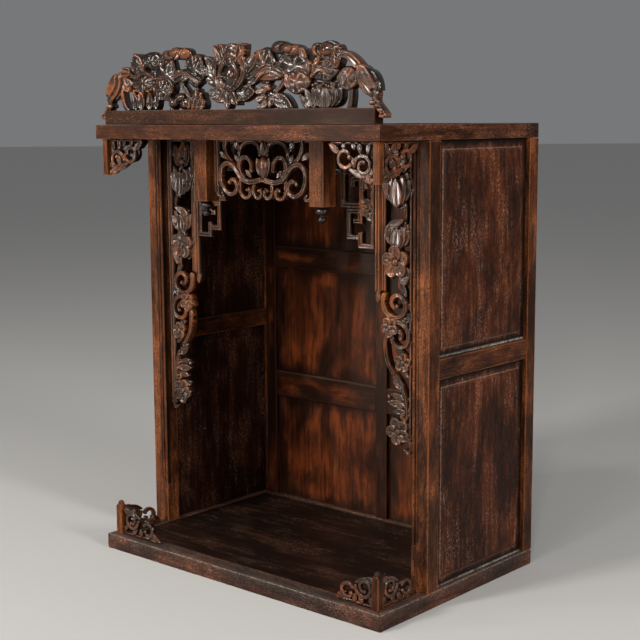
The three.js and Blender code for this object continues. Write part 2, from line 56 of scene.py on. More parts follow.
def addCamera():
    turn, tilt, roll = (math.radians(view[key]) for key in ("azimuth", "tilt", "roll"))
    ahead = Vector((-math.sin(turn) * math.cos(tilt), math.cos(turn) * math.cos(tilt), -math.sin(tilt)))
    right = Vector((math.cos(turn), math.sin(turn), 0))
    down = ahead.cross(right)
    rolledRight = math.cos(roll) * right + math.sin(roll) * down
    rolledDown = math.cos(roll) * down - math.sin(roll) * right
    data = bpy.data.cameras.new("camera")
    data.lens = view["lens"]
    data.sensor_width = view["sensor"]
    data.clip_start, data.clip_end = 0.05, 30
    camera = bpy.data.objects.new("camera", data)
    turned = Matrix((rolledRight, -rolledDown, -ahead)).transposed().to_4x4()
    camera.matrix_world = Matrix.Translation(view["place"]) @ turned
    bpy.context.scene.collection.objects.link(camera)
    bpy.context.scene.camera = camera


studio = {
    "sky": (0.80, 0.82, 0.85),
    "skyPower": 0.23,
    "floorColor": (0.49, 0.48, 0.465),
    "sunPower": 0.26,
    "sunWide": 60,  # degrees across
    "sunTurn": (32, 0, -12),
    "floorHalf": 40,
    # place, aim, width and height in metres, watts, colour
    "lamps": [
        ("keyLamp", (-0.60, -2.5, 1.80), (0, 0, 0.34), 0.5, 0.5, 56, (1.0, 0.96, 0.90)),
        ("sideLamp", (2.7, -0.30, 1.5), (0, 0, 0.30), 0.5, 0.8, 47, (1.0, 0.97, 0.93)),
        ("fillLamp", (0.9, -2.9, 0.9), (0, 0, 0.35), 0.4, 0.6, 14, (0.96, 0.98, 1.0)),
        ("rimLampLeft", (-1.6, -2.0, 1.1), (0, -0.1, 0.40), 0.16, 0.30, 11, (1.0, 0.98, 0.95)),
        ("rimLampRight", (1.5, -2.1, 1.3), (0, -0.1, 0.40), 0.16, 0.30, 15, (1.0, 0.98, 0.95)),
        ("rimLampLow", (-1.30, -1.90, 0.38), (0, -0.1, 0.38), 0.07, 0.40, 6.5, (1.0, 0.98, 0.95)),
        ("rimLampTop", (0.3, -1.3, 2.3), (0, -0.1, 0.40), 0.14, 0.14, 5, (1.0, 0.98, 0.95)),
    ],
}


def addStudio():
    scene = bpy.context.scene
    scene.view_settings.view_transform = "Standard"
    world = bpy.data.worlds.new("studio")
    world.use_nodes = True
    sky = world.node_tree.nodes["Background"]
    sky.inputs["Color"].default_value = (*studio["sky"], 1)
    sky.inputs["Strength"].default_value = studio["skyPower"]
    scene.world = world
    for name, place, aim, wide, high, power, color in studio["lamps"]:
        data = bpy.data.lights.new(name, "AREA")
        data.shape = "RECTANGLE"
        data.size, data.size_y = wide, high
        data.energy, data.color = power, color
        lamp = bpy.data.objects.new(name, data)
        lamp.location = place
        lamp.rotation_euler = (Vector(aim) - Vector(place)).to_track_quat("-Z", "Y").to_euler()
        scene.collection.objects.link(lamp)
    data = bpy.data.lights.new("softSun", "SUN")
    data.energy, data.angle = studio["sunPower"], math.radians(studio["sunWide"])
    sun = bpy.data.objects.new("softSun", data)
    sun.rotation_euler = [math.radians(turn) for turn in studio["sunTurn"]]
    scene.collection.objects.link(sun)
    mesh = bpy.data.meshes.new("floor")
    half = studio["floorHalf"]
    corners = [(-half, -half, 0), (half, -half, 0), (half, half, 0), (-half, half, 0)]
    mesh.from_pydata(corners, [], [(0, 1, 2, 3)])
    floor = bpy.data.objects.new("floor", mesh)
    material = bpy.data.materials.new("paleFloor")
    material.use_nodes = True
    shader = material.node_tree.nodes["Principled BSDF"]
    shader.inputs["Base Color"].default_value = (*studio["floorColor"], 1)
    shader.inputs["Roughness"].default_value = 0.85
    mesh.materials.append(material)
    scene.collection.objects.link(floor)


addCamera()
addStudio()
print("camera, lamps and floor placed")


class Wire:
    # a shader socket, so that sums on it can be written out
    def __init__(self, bench, socket):
        self.bench, self.socket = bench, socket

    def do(self, operation, *values):
        return self.bench.node("ShaderNodeMath", {"operation": operation}, dict(enumerate(values)))

    def __add__(self, other):
        return self.do("ADD", self, other)

    def __sub__(self, other):
        return self.do("SUBTRACT", self, other)

    def __mul__(self, other):
        return self.do("MULTIPLY", self, other)

    def __rsub__(self, other):
        return self.do("SUBTRACT", other, self)

    __radd__, __rmul__ = __add__, __mul__

    def least(self, other):
        return self.do("MINIMUM", self, other)

    def most(self, other):
        return self.do("MAXIMUM", self, other)

    def ramp(self, low, high):
        # smooth step from nought at low to one at high
        settings = {"interpolation_type": "SMOOTHSTEP", "clamp": True}
        return self.bench.node("ShaderNodeMapRange", settings, {0: self, 1: low, 2: high, 3: 0.0, 4: 1.0})


class Bench:
    # one material being made
    def __init__(self, name):
        self.material = bpy.data.materials.new(name)
        self.material.use_nodes = True
        self.tree = self.material.node_tree
        self.shader = self.tree.nodes["Principled BSDF"]

    def node(self, kind, settings=None, sockets=None, output=0):
        made = self.tree.nodes.new(kind)
        for key, value in (settings or {}).items():
            setattr(made, key, value)
        for key, value in (sockets or {}).items():
            if isinstance(value, Wire):
                self.tree.links.new(value.socket, made.inputs[key])
            else:
                made.inputs[key].default_value = value
        return Wire(self, made.outputs[output])

    def mix(self, share, low, high):
        low, high = (value if isinstance(value, Wire) else (*value, 1) for value in (low, high))
        return self.node("ShaderNodeMix", {"data_type": "RGBA"}, {0: share, 6: low, 7: high}, 2)

    def vector(self, operation, *values):
        return self.node("ShaderNodeVectorMath", {"operation": operation}, dict(enumerate(values)))

    def attribute(self, name, output="Vector"):
        return self.node("ShaderNodeAttribute", {"attribute_name": name}, None, output)

    def split(self, vector):
        made = self.node("ShaderNodeSeparateXYZ", None, {0: vector})
        return [Wire(self, made.socket.node.outputs[i]) for i in range(3)]

    def noise(self, vector, scale, detail=2.0, rough=0.5, warp=0.0):
        sockets = {"Vector": vector, "Scale": scale, "Detail": detail, "Roughness": rough, "Distortion": warp}
        return self.node("ShaderNodeTexNoise", None, sockets, "Fac")

    def stretched(self, vector, along, across):
        return self.vector("MULTIPLY", vector, (along, across, across))

    def surface(self, **sockets):
        names = {"color": "Base Color", "roughness": "Roughness", "coat": "Coat Weight", "normal": "Normal"}
        for key, value in sockets.items():
            self.tree.links.new(value.socket, self.shader.inputs[names[key]])

    def fixed(self, **values):
        names = {"coatRoughness": "Coat Roughness", "specular": "Specular IOR Level", "tint": "Specular Tint"}
        for key, value in values.items():
            self.shader.inputs[names[key]].default_value = value


# colours run from the dark fibres to the light ones, and "rough", "gloss", "shine" and "coatRough" are the
# shader's own values; every other number says how strongly something shows
woods = {
    "slab_wood": {
        "dark": (0.012, 0.0042, 0.0026), "mid": (0.046, 0.0128, 0.0056), "light": (0.185, 0.052, 0.015),
        "cloud": 0.50, "fibre": 0.80, "glow": 0.75, "specks": 0.75, "margin": 0.0, "worn": 0.50, "dust": 0.03,
        "rough": 0.44, "gloss": 0.03, "shine": 0.13, "coatRough": 0.22,
    },
    "frame_wood": {
        "dark": (0.018, 0.0056, 0.0030), "mid": (0.088, 0.0245, 0.0085), "light": (0.330, 0.098, 0.024),
        "cloud": 0.52, "fibre": 0.95, "glow": 0.75, "specks": 0.40, "margin": 0.0, "worn": 0.85, "dust": 0.10,
        "rough": 0.42, "gloss": 0.04, "shine": 0.14, "coatRough": 0.12,
    },
    "panel_wood": {
        "dark": (0.016, 0.0054, 0.0036), "mid": (0.072, 0.0180, 0.0070), "light": (0.245, 0.064, 0.016),
        "cloud": 0.52, "fibre": 0.90, "glow": 0.65, "specks": 1.0, "margin": 0.30, "worn": 0.35, "dust": 0.20,
        "rough": 0.50, "gloss": 0.02, "shine": 0.14, "coatRough": 0.25,
    },
    "back_wood": {
        "dark": (0.012, 0.0042, 0.0024), "mid": (0.070, 0.0158, 0.0050), "light": (0.270, 0.054, 0.0095),
        "cloud": 0.60, "fibre": 0.24, "glow": 0.80, "specks": 0.10, "margin": 0.90, "worn": 0.25, "dust": 0.9,
        "rough": 0.42, "gloss": 0.06, "shine": 0.22, "coatRough": 0.25,
    },
    "carved_wood": {
        "dark": (0.009, 0.0030, 0.0018), "mid": (0.038, 0.0102, 0.0038), "light": (0.270, 0.070, 0.013),
        "cloud": 0.50, "fibre": 0.50, "glow": 0.95, "specks": 0.10, "margin": 0.0, "worn": 0.0, "dust": 0.04,
        "rough": 0.27, "gloss": 0.62, "shine": 0.26, "coatRough": 0.12,
    },
}


# what every wood has alike
shared = {
    "cut": (0.0028, 0.0016, 0.0013), "ridge": (0.24, 0.105, 0.048), "speck": (0.25, 0.165, 0.13),
    "dust": (0.17, 0.135, 0.11), "dustAndSheen": (0.40, 0.35, 0.31), "sheen": (1.0, 0.74, 0.56),
}


def darker(color, share):
    return tuple(share * c for c in color)


def woodMaterial(slotName):
    look = woods[slotName]
    bench = Bench(slotName)
    grain = bench.attribute("grain")  # metres along and across the fibres, moved on for each board
    drift = bench.noise(bench.stretched(grain, 5, 14), 1.0, 2) * 0.016
    bent = bench.vector("ADD", grain, bench.node("ShaderNodeCombineXYZ", None, {0: 0.0, 1: drift, 2: drift}))
    clouds = bench.noise(bench.stretched(grain, 8, 15), 1.0, 3, 0.6, 0.5)
    patches = bench.noise(bench.stretched(grain, 17, 34), 1.0, 3, 0.6, 0.3)
    figure = bench.noise(bench.stretched(bent, 11, 160), 1.0, 3, 0.6)
    fibre = bench.noise(bench.stretched(bent, 70, 520), 1.0, 3, 0.75)
    low, high = bench.split(bench.attribute("lowSide")), bench.split(bench.attribute("highSide"))
    near = [a.least(b) for a, b in zip(low, high)]
    first, second = near[0].least(near[1]), near[0].most(near[1])
    edge = first.most(second.least(near[2]))  # metres to the nearest edge of the board
    hollow = bench.attribute("hollow", "Fac")  # below zero in the cut, above zero on the ridges

    tone = clouds * 0.55 + figure * 0.30 + fibre * 0.15
    color = bench.mix(tone.ramp(0.36, 0.60), look["dark"], look["mid"])
    glow = (patches * 0.60 + figure * 0.40).ramp(0.42, 0.66) * clouds.ramp(0.38, 0.62) * look["glow"]
    color = bench.mix(glow, color, look["light"])
    shade = (clouds * 0.6 + patches * 0.4).ramp(0.50, 0.34) * look["cloud"]
    color = bench.mix(shade, color, darker(look["dark"], 0.7))
    if look["margin"]:
        rim = (edge + patches * 0.034).ramp(0.040, 0.018) * look["margin"]
        color = bench.mix(rim, color, darker(look["dark"], 0.7))
    color = bench.mix(fibre.ramp(0.48, 0.30) * look["fibre"] * 0.85, color, darker(look["dark"], 0.5))
    color = bench.mix(fibre.ramp(0.52, 0.70) * look["fibre"] * 0.30, color, look["light"])
    # lighter along the board's edges: part wear, part painted highlight on the edges
    worn = (edge + patches * 0.004).ramp(0.0040, 0.0014) * look["worn"]
    color = bench.mix(worn * 0.5, color, darker(look["light"], 1.3))
    grit = bench.noise(bench.stretched(bent, 330, 900), 1.0, 1)
    color = bench.mix(grit.ramp(0.48, 0.34) * look["fibre"] * 0.75, color, darker(look["dark"], 0.5))
    # the cut is painted dark, painted shade together with old lacquer; the ridges are painted lighter, painted
    # highlight together with rubbing
    color = bench.mix(hollow.ramp(0.12, -0.45) * 0.96, color, shared["cut"])
    color = bench.mix(hollow.ramp(0.25, 0.95) * 0.26, color, shared["ridge"])
    where = (patches * 0.4 + clouds * 0.2 + figure * 0.4).ramp(0.47, 0.60)
    specks = grit.ramp(0.54, 0.68) * where * look["specks"]
    color = bench.mix(specks * hollow.ramp(-0.6, -0.1) * 0.65, color, shared["speck"])
    up = bench.split(bench.node("ShaderNodeNewGeometry", None, None, "Normal"))[2]
    dust = up.ramp(0.6, 0.98) * (patches * 0.6 + clouds * 0.6) * look["dust"]
    color = bench.mix(dust, color, shared["dust"])
    # pale dust along sills, joints and ledges, and a pale line along the slabs' top edges that is part dust,
    # part painted highlight
    dustAndSheen = bench.attribute("dustAndSheen", "Fac") * (patches * 0.7 + grit.ramp(0.40, 0.62) * 1.1 - 0.10)
    color = bench.mix(dustAndSheen, color, shared["dustAndSheen"])

    rough = look["rough"] + patches.ramp(0.4, 0.7) * 0.12 + (dust + dustAndSheen) * 0.3
    uneven = {"Strength": 0.4, "Distance": 0.0004, "Height": fibre + figure * 0.5}
    bump = bench.node("ShaderNodeBump", None, uneven)
    coat = look["gloss"] * (1 - dust) + hollow.ramp(-1.5, -2.0) * 0.7
    bench.surface(color=color, roughness=rough, coat=coat, normal=bump)
    bench.fixed(coatRoughness=look["coatRough"], specular=look["shine"], tint=(*shared["sheen"], 1))
    return bench.material


finishes = {slotName: woodMaterial(slotName) for slotName in woods}
print("finishes mixed:", len(finishes))


def smooth(t):
    t = np.clip(t, 0, 1)
    return t * t * (3 - 2 * t)


def softNoise(points, scale, seed):
    # smooth noise from -1 to 1 on an N by 3 array of points
    p = points / scale + seed * 17.31
    cell = np.floor(p).astype(np.int64)
    part = p - cell
    part = part * part * (3 - 2 * part)
    total = np.zeros(len(points))
    for corner in np.ndindex(2, 2, 2):
        # a number made from the corner's place and the seed, so that it comes out the same every time
        mixed = ((cell + corner) @ (374761393, 668265263, 2147483647) + seed * 97) & 0xFFFFFFFF
        mixed = ((mixed ^ (mixed >> 13)) * 1274126177) & 0xFFFFFFFF
        value = ((mixed ^ (mixed >> 16)) & 0xFFFF) / 32767.5 - 1
        near = np.abs(1 - np.array(corner) - part)
        total += value * (near[:, 0] * near[:, 1] * near[:, 2])
    return total


def linesBetween(low, high, radius, cell, more=()):
    # grid lines, close together where the edge turns
    inner = max(2, int(round((high - low - 2 * radius) / cell)) + 1)
    turned = [radius * t for t in (0, 0.2, 0.5, 0.8)]
    lines = [low + t for t in turned] + [high - t for t in turned] + [m for m in more if low < m < high]
    return np.unique(np.round(np.concatenate([lines, np.linspace(low + radius, high - radius, inner)]), 7))


def boxGrid(lines):
    # the skin of a box as quads, its corners shared
    points, quads, count = [], [], 0
    for axis in range(3):
        a, b = [(1, 2), (2, 0), (0, 1)][axis]
        for side in (0, -1):
            first, second = np.meshgrid(lines[a], lines[b], indexing="ij")
            sheet = np.zeros((*first.shape, 3))
            sheet[..., a], sheet[..., b], sheet[..., axis] = first, second, lines[axis][side]
            index = np.arange(first.size).reshape(first.shape) + count
            quad = np.stack([index[:-1, :-1], index[1:, :-1], index[1:, 1:], index[:-1, 1:]], -1)
            quad = quad.reshape(-1, 4)
            quads.append(quad if side else quad[:, ::-1])
            points.append(sheet.reshape(-1, 3))
            count += first.size
    points = np.concatenate(points)
    _, keep, back = np.unique(np.round(points, 6), axis=0, return_index=True, return_inverse=True)
    return points[keep], back.reshape(-1)[np.concatenate(quads)]


# how round a board's edges are, as shares of its radius, and the sizes of its uneven patches in millimetres
wear = {"middle": 0.72, "swing": 0.28, "small": 14, "large": 47, "faces": 38}


def plank(low, high, radius, cell, wave, seed, more=((), (), ())):
    # a board with rubbed edges and slightly uneven faces, in millimetres, inside the box low to high
    low, high = np.array(low, float), np.array(high, float)
    radius = min(radius, 0.4 * (high - low).min())
    points, quads = boxGrid([linesBetween(low[i], high[i], radius, cell, more[i]) for i in range(3)])
    swing = wear["swing"] * softNoise(points, wear["small"], seed) * softNoise(points, wear["large"], seed + 3)
    worn = radius * (wear["middle"] + swing)
    inner = np.clip(points, low + worn[:, None], high - worn[:, None])
    out = points - inner
    reach = np.linalg.norm(out, axis=1, keepdims=True)
    out = out / np.maximum(reach, 1e-9)
    points = inner + out * worn[:, None]
    uneven = 0.5 + 0.5 * softNoise(points * (1, 1, 0.5), wear["faces"], seed + 5)
    return points - out * wave * uneven[:, None], quads, (low, high)


grainTurns = {"x": (0, 1, 2), "y": (1, 0, 2), "z": (2, 0, 1)}


def dress(piece, slotName, nodes, along="x", seed=1, box=None, hollow=None, dustAndSheen=None):
    # the piece gets what its wood reads, stands for its nodes and moves with the body
    mesh = piece.data
    points = np.empty(len(mesh.vertices) * 3)
    mesh.vertices.foreach_get("co", points)
    points = points.reshape(-1, 3) / mm
    low, high = box if box is not None else (points.min(0) - 50, points.max(0) + 50)
    random = np.random.default_rng(seed)
    values = {
        "grain": (points[:, grainTurns[along]] * mm) + random.uniform(-8, 8, 3),
        "lowSide": (points - low) * mm,
        "highSide": (high - points) * mm,
    }
    for key, value in values.items():
        layer = mesh.attributes.new(key, "FLOAT_VECTOR", "POINT")
        layer.data.foreach_set("vector", value.astype(np.float32).ravel())
    for key, value in (("hollow", hollow), ("dustAndSheen", dustAndSheen)):
        layer = mesh.attributes.new(key, "FLOAT", "POINT")
        value = np.zeros(len(points)) if value is None else value
        layer.data.foreach_set("value", value.astype(np.float32))
    mesh.materials.clear()
    mesh.materials.append(finishes[slotName])
    bpy.context.scene.collection.objects.link(piece)
    if nodes:
        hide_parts(*nodes)
    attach(piece, "root")


def addPiece(name, points, faces, slotName, nodes, *more):
    # points in millimetres; faces as one array of quads, or as a list where their sizes differ
    mesh = bpy.data.meshes.new(name)
    mesh.vertices.add(len(points))
    mesh.vertices.foreach_set("co", (points * mm).astype(np.float32).ravel())
    sizes = np.array([len(face) for face in faces], np.int32)
    flat = np.concatenate(faces) if isinstance(faces, list) else faces.ravel()
    mesh.loops.add(len(flat))
    mesh.loops.foreach_set("vertex_index", flat.astype(np.int32))
    mesh.polygons.add(len(sizes))
    mesh.polygons.foreach_set("loop_start", np.concatenate([[0], np.cumsum(sizes)[:-1]]).astype(np.int32))
    mesh.polygons.foreach_set("loop_total", sizes)
    mesh.polygons.foreach_set("use_smooth", np.ones(len(sizes), bool))
    mesh.update(calc_edges=True)
    mesh.validate()
    dress(bpy.data.objects.new(name, mesh), slotName, nodes, *more)


def mirrored(points, quads):
    return points * (-1, 1, 1), quads[:, ::-1]


def boxOf(node):
    low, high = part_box(node)
    return np.array(low) / mm, np.array(high) / mm


# the rails and boards of the two slabs; sizes in millimetres, edges and dust as shares
slabs = {
    "radius": 1.5, "cell": 9, "wave": 0.22, "edgeHigh": 1.2, "edgeDeep": 1.4,
    "paleEdge": 0.26, "topEdge": 0.04, "ledgeDust": 0.09, "faceDust": 0.035,
    "boardRadius": 0.8, "boardCell": 10, "boardWave": 0.3, "jointDust": 0.17,
    "boards": (("floor_board", 31, -0.31), ("top_board", 32, 0.0)),  # name, seed, tone
}


def mitredRail(node, seed):
    low, high = boxOf(node)
    alongX = high[0] - low[0] > high[1] - low[1]
    points, quads, box = plank(low, high, slabs["radius"], slabs["cell"], slabs["wave"], seed)
    length, across = (0, 1) if alongX else (1, 0)
    outer = -1 if "front" in node or "left" in node else 1
    edge = low[across] if outer < 0 else high[across]
    inward = np.abs(points[:, across] - edge)  # the ends are cut back by as much as the wood lies inwards
    half = (high[length] - low[length]) / 2
    middle = (high[length] + low[length]) / 2
    points[:, length] = middle + (points[:, length] - middle) * (half - inward) / half
    onBase = node.startswith("base")
    below = high[2] - points[:, 2]
    nearEdge = np.exp(-((below / slabs["edgeHigh"]) ** 2) - (inward / slabs["edgeDeep"]) ** 2)
    # the pale line along the top outer edge is part dust, part painted highlight; the dust on the base's top
    # and face is dust
    dustAndSheen = slabs["paleEdge" if onBase else "topEdge"] * nearEdge
    if onBase:
        dustAndSheen += slabs["ledgeDust"] * (below < 0.6) + slabs["faceDust"] * (inward < 0.8)
    along = "x" if alongX else "y"
    addPiece(node + "_wood", points, quads, "slab_wood", [node], along, seed, box, None, dustAndSheen)


def addSlabs():
    for prefix, start in (("base", 11), ("top", 21)):
        for step, side in enumerate(("front", "right", "back", "left")):
            mitredRail(f"{prefix}_{side}_rail", start + step)
    for node, seed, tone in slabs["boards"]:
        low, high = boxOf(node)
        sizes = slabs["boardRadius"], slabs["boardCell"], slabs["boardWave"]
        points, quads, box = plank(low, high, *sizes, seed, ((), [high[1] - t for t in (12, 8, 6, 4)], ()))
        dustAndSheen = slabs["jointDust"] * np.clip((points[:, 1] - high[1] + 6) / 4, 0, 1)
        hollow = np.full(len(points), tone)
        addPiece(node + "_wood", points, quads, "slab_wood", [node], "x", seed, box, hollow, dustAndSheen)


addSlabs()
print("slabs laid")

# plain posts, rails and back boards
# crestTone paints the crest rail darker: painted shade against the stronger light up high, as on the crest
# carving
case = {"radius": 1.1, "cell": 10, "wave": 0.2, "dropRadius": 0.7, "crestTone": -0.28}


def plainBoard(node, slotName, along, seed, radius=case["radius"], tone=0.0):
    points, quads, box = plank(*boxOf(node), radius, case["cell"], case["wave"], seed)
    addPiece(node + "_wood", points, quads, slotName, [node], along, seed, box, np.full(len(points), tone))


basePost = {
    "radius": 0.9, "cell": 4, "wave": 0.1, "headHigh": 7,
    "neck": 0.90,  # the head's width as a share of the post's
    "drawIn": 0.93,  # how far its top rounds over, 1 for a full dome
}


def cornerPost(node, seed):
    # a short square post whose head draws in to a rounded button
    low, high = boxOf(node)
    neck = high[2] - basePost["headHigh"]
    sizes = basePost["radius"], basePost["cell"], basePost["wave"]
    points, quads, box = plank(low, high, *sizes, seed, ((), (), np.linspace(neck - 1, high[2], 16)))
    middle = (low[:2] + high[:2]) / 2
    up = np.clip((points[:, 2] - neck) / basePost["headHigh"], 0, 1)
    across = points[:, :2] - middle
    reach = np.linalg.norm(across, axis=1, keepdims=True)
    rounded = across / np.maximum(reach / np.abs(across).max(1, keepdims=True).clip(1e-6), 1e-6)
    shape = np.sqrt(1 - (basePost["drawIn"] * np.clip((up - 0.15) / 0.85, 0, 1)) ** 2)
    shape = shape * np.where(up > 0, basePost["neck"], 1.0)
    share = smooth(up * 4)[:, None]
    points[:, :2] = middle + (across * (1 - share) + rounded * share) * shape[:, None]
    addPiece(node + "_wood", points, quads, "frame_wood", [node], "z", seed, box)


# the two beads down each front post
beads = {
    "wide": 5.2, "gap": 0.3, "deep": 2.6, "zone": 11, "stopLow": 56, "stopRise": 7,
    "wave": 0.15, "dark": -0.9,
}


def frontPost(node, seed):
    # two beads run down the inner side of the face and stop on a slant above the foot
    low, high = boxOf("front_post_right")
    zone = beads["zone"]
    stop = low[2] + beads["stopLow"]
    xs = np.linspace(low[0], low[0] + zone + 0.6, 40)
    zs = np.linspace(stop - 2, stop + beads["stopRise"] + 2, 26)
    points, quads, box = plank(low, high, case["radius"], case["cell"], beads["wave"], seed, (xs, (), zs))
    x, y, z = points.T
    face = y < low[1] + 1.3
    inward = x - low[0]
    across = (inward % (beads["wide"] + beads["gap"])) / beads["wide"] * 2 - 1
    sunk = beads["deep"] * (1 - np.sqrt(np.clip(1 - across**2, 0, 1)))
    above = np.clip((z - stop - beads["stopRise"] * inward / zone) / 0.8, 0, 1)
    inZone = np.clip((zone - inward) / 0.3, 0, 1)
    y = y + np.where(face, sunk * above * inZone, 0)
    points = np.stack([x, y, z], 1)
    # the grooves between the beads are painted dark: painted shade
    hollow = np.where(face, beads["dark"] * above * inZone * (sunk / beads["deep"]) ** 2, 0)
    if node.endswith("left"):
        points, quads = mirrored(points, quads)
        box = (box[0] * (-1, 1, 1), box[1] * (-1, 1, 1))
        box = (np.minimum(*box), np.maximum(*box))
    addPiece(node + "_wood", points, quads, "frame_wood", [node], "z", seed, box, hollow)


panels = {
    "radius": 0.8, "cell": 8, "wave": 0.25, "margin": 11, "slope": 4.5, "rise": 3, "step": 0.5,
    "paleLine": 0.30, "sillDust": 0.75, "innerTone": -0.22,
}


def fieldedPanel(node, seed):
    low, high = boxOf(node.replace("left", "right"))
    margin, slope, flat = panels["margin"], panels["slope"], panels["step"]
    plate = high[0] - panels["rise"]
    more = []
    for axis in (1, 2):
        more.append([low[axis] + margin + t for t in (-1.2, -0.3, 0.2, 0.9, slope, slope + 1)])
        more[-1] += [high[axis] - margin - t for t in (-1.2, -0.3, 0.2, 0.9, slope, slope + 1)]
    more[1] += [low[2] + t for t in (1.6, 2.6, 4.0)]
    sizes = panels["radius"], panels["cell"], panels["wave"]
    points, quads, box = plank(low, (plate, high[1], high[2]), *sizes, seed, ((), *more))
    inside = np.minimum(points[:, 1:] - low[1:], high[1:] - points[:, 1:]).min(1)
    step = np.clip((inside - margin + 0.3) / 0.5, 0, 1) * flat
    rise = step + np.clip((inside - margin) / slope, 0, 1) * (panels["rise"] - flat)
    outer = points[:, 0] > plate - 0.9
    points[:, 0] += np.where(outer, rise, 0)
    rubbed = np.exp(-(((inside - margin - 0.2) / 0.4) ** 2))
    hollow = np.where(outer, rubbed - 0.6 * np.clip(1.4 - inside / 7, 0, 1), 0)
    hollow = np.where(points[:, 0] < low[0] + 0.5, panels["innerTone"], hollow)
    sill = panels["sillDust"] * np.clip(1.5 - (points[:, 2] - low[2]) / 2.6, 0, 1)
    sill = sill * np.clip(0.4 + (points[:, 1] - low[1]) / 200, 0, 1)
    line = panels["paleLine"] * np.exp(-(((inside - margin - 0.2) / 0.5) ** 2))
    dustAndSheen = np.where(outer, sill + line, 0)
    if node.endswith("left"):
        points, quads = mirrored(points, quads)
        box = (np.array((-plate, low[1], low[2])), np.array((-low[0], high[1], high[2])))
    addPiece(node + "_wood", points, quads, "panel_wood", [node], "z", seed, box, hollow, dustAndSheen)


def addCase():
    for step, side in enumerate(("right", "left")):
        frontPost(f"front_post_{side}", 41 + step)
        plainBoard(f"rear_post_{side}", "frame_wood", "z", 43 + step)
        plainBoard(f"side_rail_{side}", "frame_wood", "y", 45 + step)
        fieldedPanel(f"side_panel_lower_{side}", 47 + step)
        fieldedPanel(f"side_panel_upper_{side}", 49 + step)
        plainBoard(f"corner_drop_{side}", "frame_wood", "z", 51 + step, case["dropRadius"])
        cornerPost(f"base_post_{side}", 53 + step)
    for step, node in enumerate(sorted(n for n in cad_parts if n.startswith("back_"))):
        plainBoard(node, "back_wood", "x" if "rail" in node else "z", 61 + step)
    plainBoard("crest_rail", "frame_wood", "x", 81, tone=case["crestTone"])


addCase()
print("case framed")


def socketId(tree, name):
    items = tree.interface.items_tree
    return next(item.identifier for item in items if item.name == name and item.in_out == "INPUT")


def makeTree(name, sizes, build):
    # a tree with named inputs; build joins the nodes and gives back the geometry to finish
    tree = bpy.data.node_groups.new(name, "GeometryNodeTree")
    tree.interface.new_socket("Geometry", in_out="INPUT", socket_type="NodeSocketGeometry")
    tree.interface.new_socket("Geometry", in_out="OUTPUT", socket_type="NodeSocketGeometry")
    for label, kind in sizes.items():
        tree.interface.new_socket(label, in_out="INPUT", socket_type=kind)
    tree.interface.new_socket("Wood", in_out="INPUT", socket_type="NodeSocketMaterial")
    start, end = tree.nodes.new("NodeGroupInput"), tree.nodes.new("NodeGroupOutput")

    def add(kind, links, settings=None, values=None):
        node = tree.nodes.new(kind)
        for key, value in (settings or {}).items():
            setattr(node, key, value)
        for key, value in (values or {}).items():
            node.inputs[key].default_value = value
        for key, source in links.items():
            tree.links.new(source, node.inputs[key])
        return node

    made = build(add, start.outputs)
    real = add("GeometryNodeRealizeInstances", {"Geometry": made})
    soft = add("GeometryNodeSetShadeSmooth", {"Geometry": real.outputs[0]})
    wood = add("GeometryNodeSetMaterial", {"Geometry": soft.outputs[0], "Material": start.outputs["Wood"]})
    tree.links.new(wood.outputs[0], end.inputs[0])
    return tree


def sweepWire(add, given):
    # a thin round bead along every line
    line = add("GeometryNodeMeshToCurve", {"Mesh": given["Geometry"]})
    ring = add("GeometryNodeCurvePrimitiveCircle", {"Radius": given["Radius"]}, values={"Resolution": 6})
    links = {"Curve": line.outputs[0], "Profile Curve": ring.outputs[0]}
    return add("GeometryNodeCurveToMesh", links, values={"Fill Caps": True}).outputs[0]


def setSeeds(add, given):
    # a flattened ball on every point, no two quite alike
    ball = add("GeometryNodeMeshIcoSphere", {"Radius": given["Radius"]}, values={"Subdivisions": 3})
    limits = {"Min": given["Least"], "Max": given["Most"]}
    size = add("FunctionNodeRandomValue", limits, {"data_type": "FLOAT_VECTOR"}, {"Seed": 7})
    links = {"Points": given["Geometry"], "Instance": ball.outputs[0], "Scale": size.outputs[0]}
    return add("GeometryNodeInstanceOnPoints", links).outputs[0]


number, triple = "NodeSocketFloat", "NodeSocketVector"
wireTree = makeTree("beadAlongLines", {"Radius": number}, sweepWire)
seedTree = makeTree("seedsOnPoints", {"Radius": number, "Least": triple, "Most": triple}, setSeeds)


def grow(name, points, edges, tree, sizes, along, seed, hollow):
    # run a tree over bare points and lines, and keep what it makes as a plain mesh
    mesh = bpy.data.meshes.new(name + "Lines")
    mesh.from_pydata([tuple(p * mm) for p in points], edges, [])
    source = bpy.data.objects.new(name + "Lines", mesh)
    bpy.context.scene.collection.objects.link(source)
    modifier = source.modifiers.new("grow", "NODES")
    modifier.node_group = tree
    for label, value in {**sizes, "Wood": finishes["carved_wood"]}.items():
        modifier[socketId(tree, label)] = value
    bpy.context.view_layer.update()
    evaluated = source.evaluated_get(bpy.context.evaluated_depsgraph_get())
    plain = bpy.data.meshes.new_from_object(evaluated)
    plain.name = name
    source.modifiers.clear()
    bpy.data.objects.remove(source)
    bpy.data.meshes.remove(mesh)
    piece = bpy.data.objects.new(name, plain)
    dress(piece, "carved_wood", (), along, seed, None, np.full(len(plain.vertices), hollow))
    return len(plain.vertices)


relief = {
    # in millimetres: the grid step, how far a form's edge turns over, the width and depth of the cut round
    # it, the room worked beyond it, and the least wood left in a form and in a cut
    "step": 0.8, "shoulder": 1.9, "groove": 1.1, "cut": 2.4, "room": 2.5, "thin": 0.5, "thinCut": 0.8,
    "back": -0.06,  # how dark the back is
    # near and wider surroundings: their reach in grid steps, their weight, the height that counts in full
    "surroundings": ((1.5, 0.6, 0.7), (5, 0.5, 2.2)),
}
